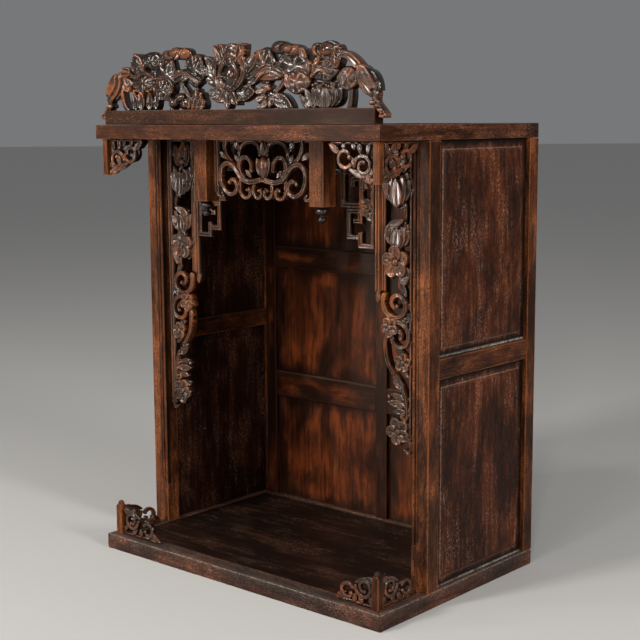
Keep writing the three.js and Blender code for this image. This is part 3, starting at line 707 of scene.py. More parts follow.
# the thin bead along a band's edges
edgeBead = {"inset": 0.95, "sunk": 0.45, "radius": 0.85, "bright": 0.55, "fromHollow": 0.9, "fromWide": 4}


def blurred(field, spread):
    # spread is counted in grid steps
    reach = max(1, int(math.ceil(2.5 * spread)))
    weights = np.exp(-0.5 * (np.arange(-reach, reach + 1) / spread) ** 2)
    weights /= weights.sum()
    for axis in (0, 1):
        padded = np.pad(field, [(reach, reach) if a == axis else (0, 0) for a in (0, 1)], "edge")
        field = sum(w * np.take(padded, range(i, i + field.shape[axis]), axis) for i, w in enumerate(weights))
    return field


class Carving:
    # A plank seen face on, u across and v up, in millimetres. Each form is laid over what is there, with a
    # cut round it, and its height is measured from the back. "depth" is the thickness of the plank.
    def __init__(self, low, high, depth, step=relief["step"], tone=0.0):
        self.step = step
        self.fine = self.step / 2
        self.depth = depth
        self.low, self.high = low, high
        self.us = np.arange(low[0] - 2 * self.step, high[0] + 2 * self.step, self.fine)
        self.vs = np.arange(low[1] - 2 * self.step, high[1] + 2 * self.step, self.fine)
        self.height = np.zeros((len(self.vs), len(self.us)))
        self.inside = np.full(self.height.shape, -6.0)
        self.rims = []  # lines of u, v and height where a thin bead runs
        self.tone = tone  # below zero for a darker piece

    def window(self, u0, u1, v0, v1, reach=0.0):
        # the stretch of the grid that a form touches, and the places in it
        room = relief["room"]
        i0, i1 = np.searchsorted(self.us, (u0 - reach - room, u1 + reach + room))
        j0, j1 = np.searchsorted(self.vs, (v0 - reach - room, v1 + reach + room))
        u, v = np.meshgrid(self.us[i0:i1], self.vs[j0:j1])
        return (slice(j0, j1), slice(i0, i1)), u, v

    def lay(self, where, inside, height, cut=relief["cut"]):
        # inside is the distance in from the outline, below zero outside it
        old, edge = self.height[where], self.inside[where]
        shoulder = relief["shoulder"]
        over = np.clip(shoulder - inside, 0, shoulder)
        drop = shoulder - np.sqrt(np.clip(shoulder**2 - over**2, 0, None))
        new = np.clip(height - drop, relief["thin"], self.depth)
        groove = np.clip(1 + inside / relief["groove"], 0, 1) * cut
        left = np.where(old > 0, np.maximum(old - groove, relief["thinCut"]), 0)
        self.height[where] = np.where(inside > 0, new, left)
        self.inside[where] = np.maximum(edge, inside)

    def petal(self, u0, v0, u1, v1, wide, level=0.8, rim=0.9, dish=1.3, vein=0.5, belly=0.85, curl=0.0,
              ribs=0):
        # a petal or leaf from its base to its tip: raised rim, dished middle, one vein, optional side ribs
        where, u, v = self.window(min(u0, u1), max(u0, u1), min(v0, v1), max(v0, v1), wide / 2)
        long = math.hypot(u1 - u0, v1 - v0)
        cu, cv = (u1 - u0) / long, (v1 - v0) / long
        s = ((u - u0) * cu + (v - v0) * cv) / long
        t = (v - v0) * cu - (u - u0) * cv
        inner = np.clip(s, 1e-4, 1 - 1e-4)
        half = wide / 2 * np.sin(math.pi * inner**belly) ** 0.75
        inside = np.minimum((half - np.abs(t)) * 0.93, np.minimum(s, 1 - s) * long + 0.4)
        x = np.clip(np.abs(t) / np.maximum(half, 0.5), 0, 1)
        bulk = min(1.5, self.depth / 10)
        height = level * self.depth + curl * s**2 - dish * bulk * (1 - x**2) * np.sin(math.pi * inner) ** 0.5
        height = height - 1.3 * bulk * x**4
        height = height + rim * np.exp(-(((x - 0.84) / 0.13) ** 2))
        height = height + vein * np.exp(-((t / 0.9) ** 2)) * (1 - s)
        if ribs:
            wave = np.cos(2 * math.pi * ribs * (s - 0.45 * x))
            height = height + 0.35 * wave * smooth((x - 0.08) * 4) * smooth((0.95 - x) * 5)
        self.lay(where, inside, height)

    def oval(self, u0, v0, wide, high, level=0.8, lean=0.0, rim=0.0, dome=1.5, lobes=0, wave=0.08, turn=0.0,
             folds=0, deep=0.7):
        # a round form: a dome, or a lotus leaf with a wavy rim and folds that fan out from its middle
        where, u, v = self.window(u0, u0, v0, v0, max(wide, high) / 2 * (1 + wave))
        c, s = math.cos(lean), math.sin(lean)
        x = ((u - u0) * c + (v - v0) * s) / (wide / 2)
        y = ((v - v0) * c - (u - u0) * s) / (high / 2)
        angle = np.arctan2(y, x)
        far = np.hypot(x, y)
        outline = 1 + (wave * np.cos(lobes * angle + turn) if lobes else 0)
        r = far / outline
        inside = (1 - r) * min(wide, high) / 2
        height = level * self.depth - dome * min(1.6, self.depth / 9) * np.clip(r, 0, 1) ** 2
        if folds:
            waves = 0.6 * deep * np.cos(folds * angle + turn * 1.7)
            height = height + waves * smooth((r - 0.12) * 2.2) * smooth((1.04 - r) * 6)
        height = height + rim * np.exp(-(((r - 0.86) / 0.1) ** 2))
        self.lay(where, inside, height)

    def stem(self, points, wide, narrow, level=0.75, hollow=0.9, steps=40):
        # a band along a smooth curve through the points, hollowed between two raised edges
        line = curveThrough(points, steps)
        low, high = line.min(0), line.max(0)
        where, u, v = self.window(low[0], high[0], low[1], high[1], wide)
        best = np.full(u.shape, 1e3)
        share = np.zeros(u.shape)
        count = len(line) - 1
        for i in range(count):
            a, b = line[i], line[i + 1]
            size = wide / 2 + 3
            near = self.local(where, a, b, size)
            if near is None:
                continue
            du, dv = b - a
            span = max(du * du + dv * dv, 1e-9)
            t = np.clip(((u[near] - a[0]) * du + (v[near] - a[1]) * dv) / span, 0, 1)
            far = np.hypot(u[near] - a[0] - t * du, v[near] - a[1] - t * dv)
            half = (wide + (narrow - wide) * (i + t) / count) / 2
            ratio = far - half
            closer = ratio < best[near]
            best[near] = np.where(closer, ratio, best[near])
            share[near] = np.where(closer, far / half, share[near])
        x = np.clip(share, 0, 1)
        self.lay(where, -best, level * self.depth - hollow * (1 - smooth(x / 0.62)))
        if hollow >= edgeBead["fromHollow"] and wide >= edgeBead["fromWide"]:
            self.edgeLines(line, (wide / 2, narrow / 2), level)

    def edgeLines(self, line, halves, level):
        # a bead's line along each edge of a band, a little way in
        ahead = np.gradient(line, axis=0)
        ahead /= np.maximum(np.linalg.norm(ahead, axis=1, keepdims=True), 1e-6)
        inset = np.linspace(*halves, len(line)) - edgeBead["inset"]
        for side in (-1, 1):
            offset = line + side * inset[:, None] * np.stack([-ahead[:, 1], ahead[:, 0]], 1)
            self.rims.append(np.column_stack([offset, np.full(len(line), min(level, 0.995) * self.depth)]))

    def openRims(self, top):
        # the stretches of the edge lines that no later form covers, as points and edges
        points, edges = [], []
        for rim in self.rims:
            i = np.clip(((rim[:, 0] - self.us[0]) / self.step).round().astype(int), 0, top.shape[1] - 1)
            j = np.clip(((rim[:, 1] - self.vs[0]) / self.step).round().astype(int), 0, top.shape[0] - 1)
            shown = np.abs(top[j, i] - rim[:, 2] + 0.35) < 0.75
            first = len(points)
            points.extend(np.column_stack([rim[:, 0], -rim[:, 2] + edgeBead["sunk"], rim[:, 1]]))
            for k in range(len(rim) - 1):
                if shown[k] and shown[k + 1]:
                    edges.append((first + k, first + k + 1))
        used = sorted({k for edge in edges for k in edge})
        number = {old: new for new, old in enumerate(used)}
        return np.array([points[k] for k in used]).reshape(-1, 3), [(number[a], number[b]) for a, b in edges]

    def local(self, where, a, b, size):
        # the part of a window that is near the line from a to b
        rows, columns = where
        i0, i1 = np.searchsorted(self.us[columns], (min(a[0], b[0]) - size, max(a[0], b[0]) + size))
        j0, j1 = np.searchsorted(self.vs[rows], (min(a[1], b[1]) - size, max(a[1], b[1]) + size))
        return (slice(j0, j1), slice(i0, i1)) if i1 > i0 and j1 > j0 else None

    def scroll(self, u, v, outer, inner, start, turns, wide, narrow, level=0.85, hollow=0.9, ball=0.0):
        # winds in from outer to inner radius; start in degrees, turns below zero go clockwise
        count = int(28 * abs(turns)) + 4
        at = np.linspace(0, 1, count)
        angle = np.radians(start) + 2 * math.pi * turns * at
        radius = outer + (inner - outer) * at
        points = np.stack([u + np.cos(angle) * radius, v + np.sin(angle) * radius], 1)
        self.stem(points, wide, narrow, level, hollow, 1)
        if ball:
            self.ball(points[-1][0], points[-1][1], ball, level + 0.08)

    def ball(self, u0, v0, radius, level=0.85):
        where, u, v = self.window(u0, u0, v0, v0, radius)
        far = np.hypot(u - u0, v - v0)
        dome = np.sqrt(np.clip(1 - (far / radius) ** 2, 0, 1))
        self.lay(where, radius - far, level * self.depth - radius * 0.7 * (1 - dome))

    def bar(self, u0, v0, u1, v1, level=0.7, ridges=(), half=1.6, lift=1.0):
        # a straight piece; ridges are the u or v places of raised lines along it
        where, u, v = self.window(u0, u1, v0, v1)
        inside = np.minimum.reduce([u - u0, u1 - u, v - v0, v1 - v])
        along = u if v1 - v0 > u1 - u0 else v
        height = np.full(u.shape, level * self.depth)
        for place in ridges:
            height = height + lift * np.sqrt(np.clip(1 - ((along - place) / half) ** 2, 0, 1))
        self.lay(where, inside, height, 0.0)

    def lotus(self, u, v, wide, high, level=0.9, lean=0.0):
        # a closed lotus seen from the side: petals cup upwards, the front one before its neighbours
        c, s = math.cos(lean), math.sin(lean)

        def place(x, y):
            return u + (x * c - y * s) * wide, v + (x * s + y * c) * high

        def lift(x0, y0, x1, y1, share, up, **more):
            self.petal(*place(x0, y0), *place(x1, y1), wide * share, level * up, **more)

        for side in (-1, 1):
            lift(side * 0.16, -0.1, side * 0.40, 0.46, 0.30, 0.72)
        lift(0, 0, 0, 0.52, 0.34, 0.70)
        for side in (-1, 1):
            lift(side * 0.10, -0.40, side * 0.50, 0.26, 0.42, 0.80, belly=0.95, vein=0.3)
        for side in (-1, 1):
            lift(side * 0.06, -0.46, side * 0.26, 0.38, 0.44, 0.90, belly=0.8, dish=1.0)
        lift(0, -0.5, 0, 0.34, 0.46, 1.0, belly=0.75, dish=0.6, rim=0.7, vein=0.8)

    def rosette(self, u, v, radius, petals=5, level=0.9, turn=0.0):
        # an open flower seen face on
        for i in range(petals):
            angle = turn + 2 * math.pi * i / petals
            du, dv = math.cos(angle) * radius, math.sin(angle) * radius
            wide, high = radius * 1.05, radius * 0.98
            self.oval(u + du * 0.56, v + dv * 0.56, wide, high, level * 0.95, angle, rim=0.9, dome=-0.7)
            self.stem([(u, v), (u + du * 0.75, v + dv * 0.75)], 1.4, 0.6, level, 0, 2)
        self.ball(u, v, radius * 0.27, level * 1.08)

    def keepOut(self, u0, v0, u1, v1):
        # room for another piece
        u, v = np.meshgrid(self.us, self.vs)
        self.inside = np.minimum(self.inside, np.maximum.reduce([u0 - u, u - u1, v0 - v, v - v1]))

    def finished(self):
        # cut square at the plank's edges, soften the steps, and bring the fine grid down to the working one
        u, v = np.meshgrid(self.us, self.vs)
        within = np.minimum.reduce([u - self.low[0], self.high[0] - u, v - self.low[1], self.high[1] - v])
        self.inside = np.minimum(self.inside, within)
        height = blurred(self.height, 0.75)[::2, ::2]
        inside = blurred(self.inside, 0.75)[::2, ::2]
        solid = (self.height > 0).astype(float)
        share = np.maximum(blurred(solid, 0.75)[::2, ::2], 0.35)
        return self.us[::2], self.vs[::2], np.where(inside > -self.step, height / share, 0), inside


def curveThrough(points, steps):
    # a smooth line through the points, as many steps between each two
    points = np.array(points, float)
    if steps <= 1 or len(points) < 3:
        return points if len(points) > 2 or steps <= 1 else np.linspace(points[0], points[1], steps + 1)
    ends = np.concatenate([[2 * points[0] - points[1]], points, [2 * points[-1] - points[-2]]])
    line = []
    for i in range(len(points) - 1):
        p0, p1, p2, p3 = ends[i : i + 4]
        for t in np.linspace(0, 1, max(3, steps // (len(points) - 1)), endpoint=False):
            line.append(0.5 * (2 * p1 + (p2 - p0) * t + (2 * p0 - 5 * p1 + 4 * p2 - p3) * t**2
                               + (3 * p1 - p0 - 3 * p2 + p3) * t**3))
    return np.array(line + [points[-1]])


cellCorners = ((0, 0), (0, 1), (1, 1), (1, 0))  # row and column


def carvedMesh(work, both):
    # the relief as one closed skin with walls along every outline: the face looks to -y from a flat back at
    # y = 0, or both faces are carved alike round y = 0
    us, vs, height, inside = work.finished()
    step = work.step
    keep = inside > -0.5 * step
    cells = keep[:-1, :-1] & keep[1:, :-1] & keep[1:, 1:] & keep[:-1, 1:]
    for _ in range(3):  # cells that meet at a corner only get a neighbour
        slant = cells[:-1, :-1] & cells[1:, 1:] & ~cells[1:, :-1] & ~cells[:-1, 1:]
        other = cells[1:, :-1] & cells[:-1, 1:] & ~cells[:-1, :-1] & ~cells[1:, 1:]
        cells[:-1, 1:] |= slant
        cells[:-1, :-1] |= other
    rows, columns = np.nonzero(cells)
    used = np.zeros(inside.shape, bool)
    for dr, dc in cellCorners:
        used[rows + dr, columns + dc] = True
    number = np.full(inside.shape, -1)
    number[used] = np.arange(used.sum())
    around = np.zeros(inside.shape, int)
    for dr, dc in cellCorners:
        np.add.at(around, (rows + dr, columns + dc), 1)
    border = used & (around < 4)
    slopeV, slopeU = np.gradient(inside, step)
    steep = np.maximum(slopeU**2 + slopeV**2, 0.15)
    shift = np.clip(-inside / steep, -step, step)
    u, v = np.meshgrid(us, vs)
    u = u + np.where(border, np.clip(shift * slopeU, -0.7 * step, 0.7 * step), 0)
    v = v + np.where(border, np.clip(shift * slopeV, -0.7 * step, 0.7 * step), 0)
    u, v = np.clip(u, work.low[0], work.high[0]), np.clip(v, work.low[1], work.high[1])
    top = np.clip(height, relief["thin"], work.depth - 0.05)
    count = used.sum()
    share = 0.5 if both else 1.0
    face = np.stack([u[used], -share * top[used], v[used]], 1)
    back = np.stack([u[used], (1 - share) * top[used], v[used]], 1)
    quads = np.stack([number[rows + dr, columns + dc] for dr, dc in cellCorners], 1)
    padded = np.pad(cells, 1)
    walls = []
    # the neighbour on each side, and the two corners of the cell that it shares
    sides = (
        ((0, -1), (1, 0), (0, 0)),
        ((0, 1), (0, 1), (1, 1)),
        ((-1, 0), (0, 0), (0, 1)),
        ((1, 0), (1, 1), (1, 0)),
    )
    for (dr, dc), (ar, ac), (br, bc) in sides:
        bare = cells & ~padded[1 + dr : 1 + dr + cells.shape[0], 1 + dc : 1 + dc + cells.shape[1]]
        r, c = np.nonzero(bare)
        a, b = number[r + ar, c + ac], number[r + br, c + bc]
        walls.append(np.stack([b, a, a + count, b + count], 1))
    # how far each place stands out of its near and its wider surroundings
    raised = np.zeros(count)
    for spread, weight, most in relief["surroundings"]:
        weights = np.maximum(blurred(used.astype(float), spread), 0.2)
        nearby = blurred(np.where(used, height, 0), spread) / weights
        raised += weight * np.clip((height - nearby)[used] / most, -1.2, 1.2)
    # below zero this paints shade into the recesses and deep places, above zero it paints highlight onto the
    # ridges
    raised = np.clip(raised + np.minimum(0, 0.9 * (top[used] / work.depth - 0.78)), -1, 1) + work.tone
    hollow = np.concatenate([raised, raised if both else np.full(count, relief["back"])])
    quads = np.concatenate([quads, quads[:, ::-1] + count, *walls])
    return np.concatenate([face, back]), quads, hollow, work.openRims(height)


def hang(name, work, nodes, along, seed, move, flip=False, turned=0, both=False):
    # stand the carving in its place: move is where u = 0, y = 0, v = 0 goes
    points, quads, hollow, (rims, edges) = carvedMesh(work, both)
    if flip:
        points, quads = mirrored(points, quads)
        rims = rims * (-1, 1, 1)
    if turned:
        points = np.stack([-turned * points[:, 1], turned * points[:, 0], points[:, 2]], 1)
    addPiece(name, points + move, quads, "carved_wood", nodes, along, seed, None, hollow)
    more = 0
    if edges and not both:
        sizes = {"Radius": edgeBead["radius"] * mm}
        # the beads are painted lighter towards the ridge colour: painted highlight and rubbing along the rims
        shine = edgeBead["bright"]
        more = grow(name + "_beads", rims + move, edges, wireTree, sizes, along, seed, shine)
    print(f"  {name}: {2 * (len(quads) + more)} triangles")



def carvingOf(node, *more):
    # the plank that a node's carving is cut from, and the corners of the node's box
    low, high = boxOf(node)
    return Carving((low[0], low[2]), (high[0], high[2]), high[1] - low[1], *more), low, high


def onSide(side, points):
    return [(side * u, v) for u, v in points]


centrePanel = {"step": 0.7, "seed": 101, "band": (6.8, 5.0), "letter": (4.2, 7.2), "curl": (5.2, 3.6, 0.82)}


def addCentrePanel():
    work, _, high = carvingOf("centre_panel", centrePanel["step"])
    top, edge = high[2], high[0]
    work.bar(-edge, top - 4, edge, top, 0.55)
    for side in (-1, 1):
        strip = sorted((side * 80, side * edge))
        work.bar(strip[0], 510, strip[1], top, 0.5, (side * 83.4, side * 88.2), 1.8, 2.6)
        work.stem(onSide(side, [(83.5, 517), (83, 509), (78, 505), (73, 506), (75, 510.5)]), 5, 3.4, 0.75)
        work.petal(side * 52, 579, side * 45, 565, 9, 0.62)
        work.petal(side * 80, 565, side * 66, 554, 8, 0.7)
        # the arc from the top bud down to the C, the stem out of the corner, and the C itself
        arc = [(6.5, 561), (7.5, 570), (15.4, 576.4), (30, 577), (40.1, 570.7), (44, 559), (43, 550)]
        work.stem(onSide(side, arc), 4.6, 5, 0.66)
        work.petal(side * 52, 562, side * 45, 549, 7, 0.7)
        work.stem(onSide(side, [(67, 582), (69, 571), (64.5, 560), (57, 552)]), 6.5, 5.5, 0.8, 1.1)
        work.petal(side * 32, 541, side * 22, 531, 7, 0.7)
        letter = [(19.5, 540), (20.5, 551), (28, 557.4), (37, 556.4), (41.6, 548), (40.2, 538), (33.5, 529)]
        work.stem(onSide(side, letter), *centrePanel["letter"], 0.9, 1.1, 66)
        # the curls along the lower edge
        curl = [(40.5, 527), (40.5, 513), (34, 505.4), (26, 505.8), (22.6, 512.5), (26, 517.4)]
        work.stem(onSide(side, curl), *centrePanel["curl"])
        work.ball(side * 29, 515.4, 2.7, 0.85)
        curl = [(15, 527), (16.8, 514), (11.8, 505.8), (5.6, 505.8), (2.6, 511.5), (5, 516.4)]
        work.stem(onSide(side, curl), *centrePanel["curl"])
        work.ball(side * 8.2, 514.8, 2.5, 0.85)
        # one long band: out under the bud, over the arch, down the outer side and round into its ring
        band = [(0, 529.8), (21.5, 525.8), (37, 530.6), (46.5, 541), (54.5, 547.6), (64.5, 549.8), (73, 544),
                (75.6, 534.5), (73.8, 523.5), (66.5, 513), (55.5, 508.8), (46.6, 514.5), (46.2, 523),
                (52.5, 528.6), (59, 526)]
        work.stem(onSide(side, band), *centrePanel["band"], 0.97, 1.3, 110)
        work.ball(side * 59.6, 524.6, 3.4, 1.0)
    for side in (-1, 1):
        work.petal(side * 3, 532, side * 11, 558, 11, 0.82, belly=0.9)
    work.petal(0, 560, -1.5, 580, 9, 0.85)
    work.stem([(3, 562), (7, 569), (3, 577)], 3.4, 2.2, 0.8)
    work.oval(0, 545.5, 17, 29, 1.0, dome=3.2)
    hang("centrePanel", work, ["centre_panel"], "x", centrePanel["seed"], (0, high[1], 0))


addCentrePanel()

carvedStrip = {"seed": 111, "swing": (5.4, 5.0), "first": (6.6, 4.6), "second": (6.2, 4.4)}


def addStrips():
    work, low, high = carvingOf("carved_strip_right")
    left, right, top = low[0], high[0], high[2]
    work.bar(left, top - 5, right, top, 0.5)
    work.bar(210.8, 199, right, top, 0.45, (214.2, 219.2), 2.2, 3.4)
    work.petal(220, 206, 219, 188, 9, 0.6)
    work.bar(left, 384, 166.6, top, 0.5, (159.9, 164.3), 2.0, 3.4)
    work.petal(161.6, 394, 162, 378, 9.4, 0.62, dish=0.3)
    work.bar(166.6, 394, 174.6, top, 0.42, (169, 172.8), 1.6, 2.4)
    # the topmost leaves
    work.petal(186, 541, 179, 574, 12, 0.6)
    work.petal(201, 541, 208, 574, 12, 0.6)
    work.petal(193, 543, 187, 579, 15, 0.75, ribs=5)
    work.petal(197, 543, 203, 572, 12, 0.8, ribs=4)
    work.oval(192, 549, 13, 11, 0.9, dome=2.5)
    # two lotus flowers on one stem
    work.stem([(203, 506), (205.5, 490), (202, 474)], 4.6, 4, 0.6)
    work.petal(205, 500, 182, 507, 11, 0.6)
    work.lotus(193, 521.5, 41, 45, 1.0, 0.05)
    work.petal(203, 481, 178, 476, 9, 0.62)
    work.lotus(193, 464.5, 37, 35, 0.97, -0.08)
    work.petal(177, 474, 206, 485, 11, 0.95, ribs=4, curl=0.8)
    # the open flower and the veined leaf under it
    work.petal(176, 428, 183, 410, 11, 0.6, ribs=3)
    work.petal(210, 426, 196, 398, 16, 0.78, ribs=6)
    work.rosette(191.5, 432, 19.5, 5, 0.92, 0.4)
    # the first C winds out of the inner edge, the second answers it
    work.petal(198, 404, 206, 388, 9, 0.6, ribs=3)
    work.scroll(193, 380, 21.8, 3.2, 154, 1.38, *carvedStrip["first"], 0.86, 1.1, 3.3)
    work.petal(206, 356, 213, 372, 9, 0.6)
    work.petal(190, 352, 209, 364, 8, 0.66)
    work.scroll(196.7, 339, 18.6, 4, 100, -1.35, *carvedStrip["second"], 0.86, 1.1, 3.0)
    # the long stem that swings from the inner side to the outer
    swing = [(181, 345), (176, 331), (178.5, 310), (186, 296), (196, 285), (203.5, 273), (207.5, 261),
             (208.5, 250), (210, 239)]
    work.stem(swing, *carvedStrip["swing"], 0.85, 1.2, 80)
    work.rosette(183.5, 350, 12.5, 5, 0.98, 0.9)
    work.petal(190, 322, 207, 316, 8, 0.62)
    work.petal(198, 300, 210, 288, 8, 0.62)
    work.rosette(202.5, 307, 12, 5, 0.82, 0.2)
    work.petal(201, 272, 186, 290, 13, 0.72, ribs=4)
    work.petal(206, 260, 181, 266, 9, 0.7)
    work.petal(207, 253, 178, 255, 11, 0.85, ribs=4)
    work.petal(206, 245, 184, 243, 9, 0.72)
    work.ball(181, 262, 3.2, 0.85)
    work.scroll(204.5, 240.5, 6.2, 1.6, 10, -0.9, 4.6, 3, 0.85, 0.8, 2.2)
    # the last flower and its tail
    work.petal(190, 236, 183, 228, 9, 0.62)
    work.petal(200, 212, 192, 200, 10, 0.66)
    work.rosette(197, 219.5, 17, 5, 0.95, 0.75)
    work.stem([(209, 214), (216.5, 204), (213, 194), (206, 197)], 5, 3, 0.8)
    for side in ("right", "left"):
        nodes, place = [f"carved_strip_{side}"], (0, high[1], 0)
        hang(f"carvedStrip_{side}", work, nodes, "z", carvedStrip["seed"], place, side == "left")


addStrips()

fret = {"step": 0.7, "seed": 121, "bar": 7.5, "thinBar": 5.6, "lap": 0.8, "groove": 1.5}


def fretBars(work, points, wide, level=0.9):
    # grooved bars that turn square corners
    line = np.array(points, float)
    half = wide / 2
    low, high = line.min(0), line.max(0)
    where, u, v = work.window(low[0], high[0], low[1], high[1], half)
    far = np.full(u.shape, 1e3)
    for a, b in zip(line[:-1], line[1:]):
        outU = np.maximum(np.minimum(a[0], b[0]) - u, u - np.maximum(a[0], b[0])).clip(0)
        outV = np.maximum(np.minimum(a[1], b[1]) - v, v - np.maximum(a[1], b[1])).clip(0)
        far = np.minimum(far, np.maximum(outU, outV))
    x = np.clip(far / half, 0, 1)
    height = level * work.depth - fret["groove"] * (1 - smooth(x / 0.42)) - 0.5 * smooth((x - 0.62) * 6)
    work.lay(where, half - far, height, 0.0)


def addFrets():
    work, low, high = carvingOf("fret_bracket_right", fret["step"])
    left, right, top = low[0], high[0], high[2]
    bar, thin = fret["bar"], fret["thinBar"]
    half = bar / 2
    for u in (left + half, left + half + bar - fret["lap"]):
        fretBars(work, [(u, 537 + half), (u, top)], bar)
    fretBars(work, [(left + half, top - half), (right, top - half)], bar, 0.8)
    fretBars(work, [(right - thin / 2, top), (right - thin / 2, 445 + thin / 2)], thin, 0.8)
    fretBars(work, [(left + half, 537 + half), (right, 537 + half)], bar, 0.8)
    upper = [(103 + half, 541), (103 + half, 496 + half), (140.5 - half, 496 + half),
             (140.5 - half, 536.5 - half), (119 + half, 536.5 - half), (119 + half, 522 + half)]
    lower = [(138 - half, 459), (112.5 + half, 459), (112.5 + half, 496 - half), (138 - half, 496 - half),
             (138 - half, 477 + thin / 2), (124 + thin / 2, 477 + thin / 2)]
    fretBars(work, upper, bar)
    fretBars(work, lower, bar, 0.88)
    fretBars(work, [(131 + half, 463), (131 + half, 445 + half), (right, 445 + half)], bar, 0.88)
    work.petal(139, 520, 155, 536, 11, 0.7, ribs=4)
    work.petal(152, 518, 142, 531, 6, 0.6)
    work.petal(139, 507, 153, 500, 8, 0.6)
    work.rosette(146, 493, 9, 5, 0.8)
    work.petal(141, 487, 152, 479, 6, 0.6)
    for side in ("right", "left"):
        nodes, place = [f"fret_bracket_{side}"], (0, high[1], 0)
        hang(f"fretBracket_{side}", work, nodes, "z", fret["seed"], place, side == "left")


addFrets()

# the small scroll brackets are carved on both faces
brackets = {
    "step": 0.6, "spandrelDeep": 6, "baseDeep": 7, "scroll": (5.0, 3.4), "frontSeed": 131, "sideSeed": 132,
}


def spandrelWork(long, high):
    # hangs from its upper corner
    work = Carving((0, -high), (long, 0), brackets["spandrelDeep"], brackets["step"])
    work.bar(0, -2.8, long - 3, 0, 0.6)
    work.petal(8, -1, 11, -15, 7, 0.7)
    work.petal(23, -1, 21, -14, 8, 0.8, ribs=3)
    work.petal(33, -1, 30, -10, 7, 0.7)
    work.petal(48, -1, 45, -9, 7, 0.7)
    work.petal(52, -14, 69, -2, 9, 0.8, ribs=4)
    work.petal(1, -36, 12, -33, 8, 0.7)
    work.petal(0, -47, 22, -37, 10, 0.8, ribs=4)
    work.petal(14, -42, 40, -31, 8, 0.75, ribs=4)
    work.scroll(17, -28, 13.4, 4.5, 0, 1.3, *brackets["scroll"], 0.88, 0.8, 2.6)
    work.scroll(44.5, -19, 11.8, 7, -138, 0.86, 4.8, 4.2, 0.88, 0.8, 3.4)
    work.petal(30, -30, 33, -18, 6, 0.8)
    work.ball(3.5, -44, 3.2, 0.9)
    return work


def bracketWork(long, high):
    # stands on its lower corner
    work = Carving((0, 0), (long, high), brackets["baseDeep"], brackets["step"])
    reach = long / 62
    work.bar(0, 0, long - 6, 4, 0.65)
    work.petal(2, 4, 7 * reach, 15, 7, 0.7)
    work.petal(18 * reach, 2, 22 * reach, 14, 8, 0.8, ribs=3)
    work.petal(31 * reach, 2, 30 * reach, 13, 8, 0.75, ribs=3)
    work.petal(46 * reach, 12, long, 1, 9, 0.8, ribs=5)
    work.petal(38 * reach, 2, 50 * reach, 9, 7, 0.7)
    work.petal(0, 37, 18 * reach, 30, 10, 0.8, ribs=4)
    work.petal(10 * reach, 36, 31 * reach, 27, 7, 0.7)
    work.scroll(15 * reach, 23, 13.2, 4.5, 0, -1.3, *brackets["scroll"], 0.88, 0.8, 2.6)
    work.scroll(43 * reach, 14, 10.4, 6.8, 143, -0.84, 4.8, 4.2, 0.88, 0.8, 3.2)
    return work


def addBrackets():
    # at the front they run in from a post, at the sides they run back from it
    for side in ("right", "left"):
        for kind, make, end in (("spandrel", spandrelWork, 1), ("base_bracket", bracketWork, 0)):
            node, onRight, seed = f"{kind}_front_{side}", side == "right", brackets["frontSeed"]
            box = boxOf(node)
            size, middle = box[1] - box[0], (box[0] + box[1]) / 2
            start = (box[onRight][0], middle[1], box[end][2])
            hang(node + "_carved", make(size[0], size[2]), [node], "x", seed, start, onRight, both=True)
            node, seed = f"{kind}_side_{side}", brackets["sideSeed"]
            box = boxOf(node)
            size, middle = box[1] - box[0], (box[0] + box[1]) / 2
            start = (middle[0], box[0][1], box[end][2])
            hang(node + "_carved", make(size[1], size[2]), [node], "y", seed, start, turned=1, both=True)


addBrackets()

hangingPost = {
    "radius": 1.0, "cell": 9, "wave": 0.15, "knobHigh": 20.9, "sides": 40, "black": -2.0,
    # radius and height of the turned knob below the post's foot
    "knob": [(5.2, 1.0), (6.6, -0.8), (8.9, -3.6), (9.3, -6.4), (7.6, -9.2), (4.0, -11.0), (3.5, -12.2),
             (5.2, -13.6), (6.0, -15.6), (5.2, -18.2), (3.0, -20.2), (0.6, -20.9)],
}


def addHangingPosts():
    for step, side in enumerate(("right", "left")):
        node = f"hanging_post_{side}"
        low, high = boxOf(node)
        foot = low[2] + hangingPost["knobHigh"]
        sizes = hangingPost["radius"], hangingPost["cell"], hangingPost["wave"]
        points, quads, box = plank((low[0], low[1], foot), high, *sizes, 91 + step)
        middle = (low[:2] + high[:2]) / 2
        line = curveThrough(hangingPost["knob"], 66)
        angle = np.linspace(0, 2 * math.pi, hangingPost["sides"], endpoint=False)
        x = middle[0] + np.outer(line[:, 0], np.cos(angle))
        y = middle[1] + np.outer(line[:, 0], np.sin(angle))
        rings = np.stack([x, y, np.repeat((foot + line[:, 1])[:, None], len(angle), 1)], -1)
        first = len(points)
        index = first + np.arange(rings.shape[0] * rings.shape[1]).reshape(rings.shape[:2])
        turned = np.roll(index, -1, 1)
        around = np.stack([index[:-1], index[1:], turned[1:], turned[:-1]], -1).reshape(-1, 4)
        faces = [list(q) for q in quads] + [list(q) for q in around] + [list(index[0]), list(index[-1][::-1])]
        points = np.concatenate([points, rings.reshape(-1, 3)])
        hollow = np.where(np.arange(len(points)) < first, 0.0, hangingPost["black"])  # black, glossy knobs
        addPiece(node + "_wood", points, faces, "frame_wood", [node], "z", 91 + step, box, hollow)


addHangingPosts()
print("hangings carved")

# tone paints the whole crest darker: painted shade against the stronger light it gets up high
crest = {"step": 0.86, "tone": -0.22, "seed": 141, "gap": 0.3}


